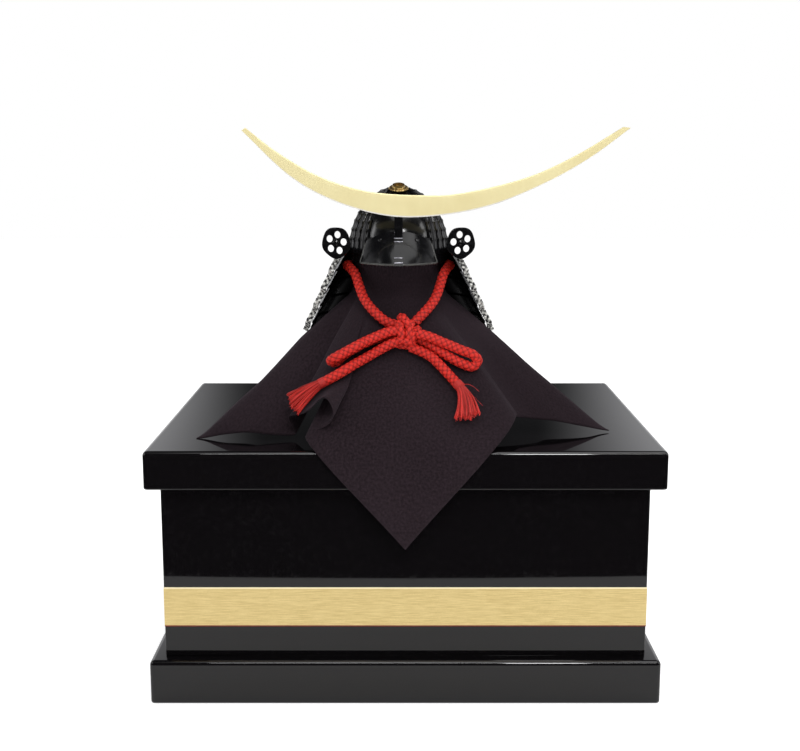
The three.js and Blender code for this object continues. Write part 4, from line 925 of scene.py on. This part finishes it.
for name, (corners, faces), finish, seen in (
        ("floor", ([(-6, -6, -0.0004), (6, -6, -0.0004), (6, 6, -0.0004), (-6, 6, -0.0004)], [(0, 1, 2, 3)]),
         pale_floor, True),
        ("dark_floor", frame_of(NEAR, FAR, 0.0006), curtain_cloth, False),
        ("near_floor", frame_of(FOOTPRINT, NEAR, 0.0006), dim_floor, False)):
    sheet_mesh = bpy.data.meshes.new(name)
    sheet_mesh.from_pydata(corners, [], faces)
    sheet_mesh.materials.append(finish.material)
    stage_piece = put(name, sheet_mesh)
    stage_piece.visible_camera = seen
    stage_piece.visible_diffuse = seen
    stage_piece.visible_shadow = seen
for name, at, aimed_at, size, power in (
        ("panel_above", (0.35, -0.5, 2.0), 0.2, (2.2, 1.1), 11.0),
        ("strip_above", (0.15, -1.5, 1.75), 0.2, (1.7, 0.08), 8.0),
        ("panel_left", (-1.9, -0.5, 1.2), 0.3, (0.3, 1.0), 4.0),
        ("panel_right", (1.9, -0.5, 1.2), 0.3, (0.3, 1.0), 4.0),
        ("panel_front", (0.6, -2.2, 1.9), 0.35, (0.35, 0.35), 9.0)):
    lamp = bpy.data.lights.new(name, "AREA")
    lamp.shape = "RECTANGLE"
    lamp.size, lamp.size_y = size
    lamp.energy = power
    light = put(name, lamp)
    light.location = at
    light.rotation_euler = (math.atan2(math.hypot(at[0], at[1]), at[2] - aimed_at), 0,
                            math.atan2(at[0], -at[1]))
world = bpy.data.worlds.new("studio")
world.use_nodes = True
bpy.context.scene.world = world
sky = Nodes(world.node_tree)
direction = sky.node("ShaderNodeTexCoord", output="Generated")


def along(axis):
    """How far the seen direction points along an axis, from -1 to 1."""
    return sky.node("ShaderNodeSeparateXYZ", None, {0: direction}, axis)


bright_share = sky.band(along("Y"), -0.6, 0.7)
for axis, low, high, at_low, at_high in (("Z", 0.34, 0.62, 1.0, 0.0), ("X", 0.12, 0.28, 0.01, 1.0)):
    size_of = sky.node("ShaderNodeMath", {"operation": "ABSOLUTE"}, {0: along(axis)})
    bright_share = bright_share * sky.node(
        "ShaderNodeMapRange", {"interpolation_type": "SMOOTHSTEP"},
        {"Value": size_of, "From Min": low, "From Max": high, "To Min": at_low, "To Max": at_high})
mirrored = sky.blend((0.012, 0.012, 0.013, 1), (0.75, 0.75, 0.77, 1), bright_share)
tones = sky.blend((0.55, 0.55, 0.55, 1), mirrored, sky.node("ShaderNodeLightPath", output="Is Glossy Ray"))
seen = sky.blend(tones, (1, 1, 1, 1), sky.node("ShaderNodeLightPath", output="Is Camera Ray"))
sky.tree.links.new(seen.socket, sky.tree.nodes["Background"].inputs["Color"])
bpy.context.scene.view_settings.view_transform = "Standard"
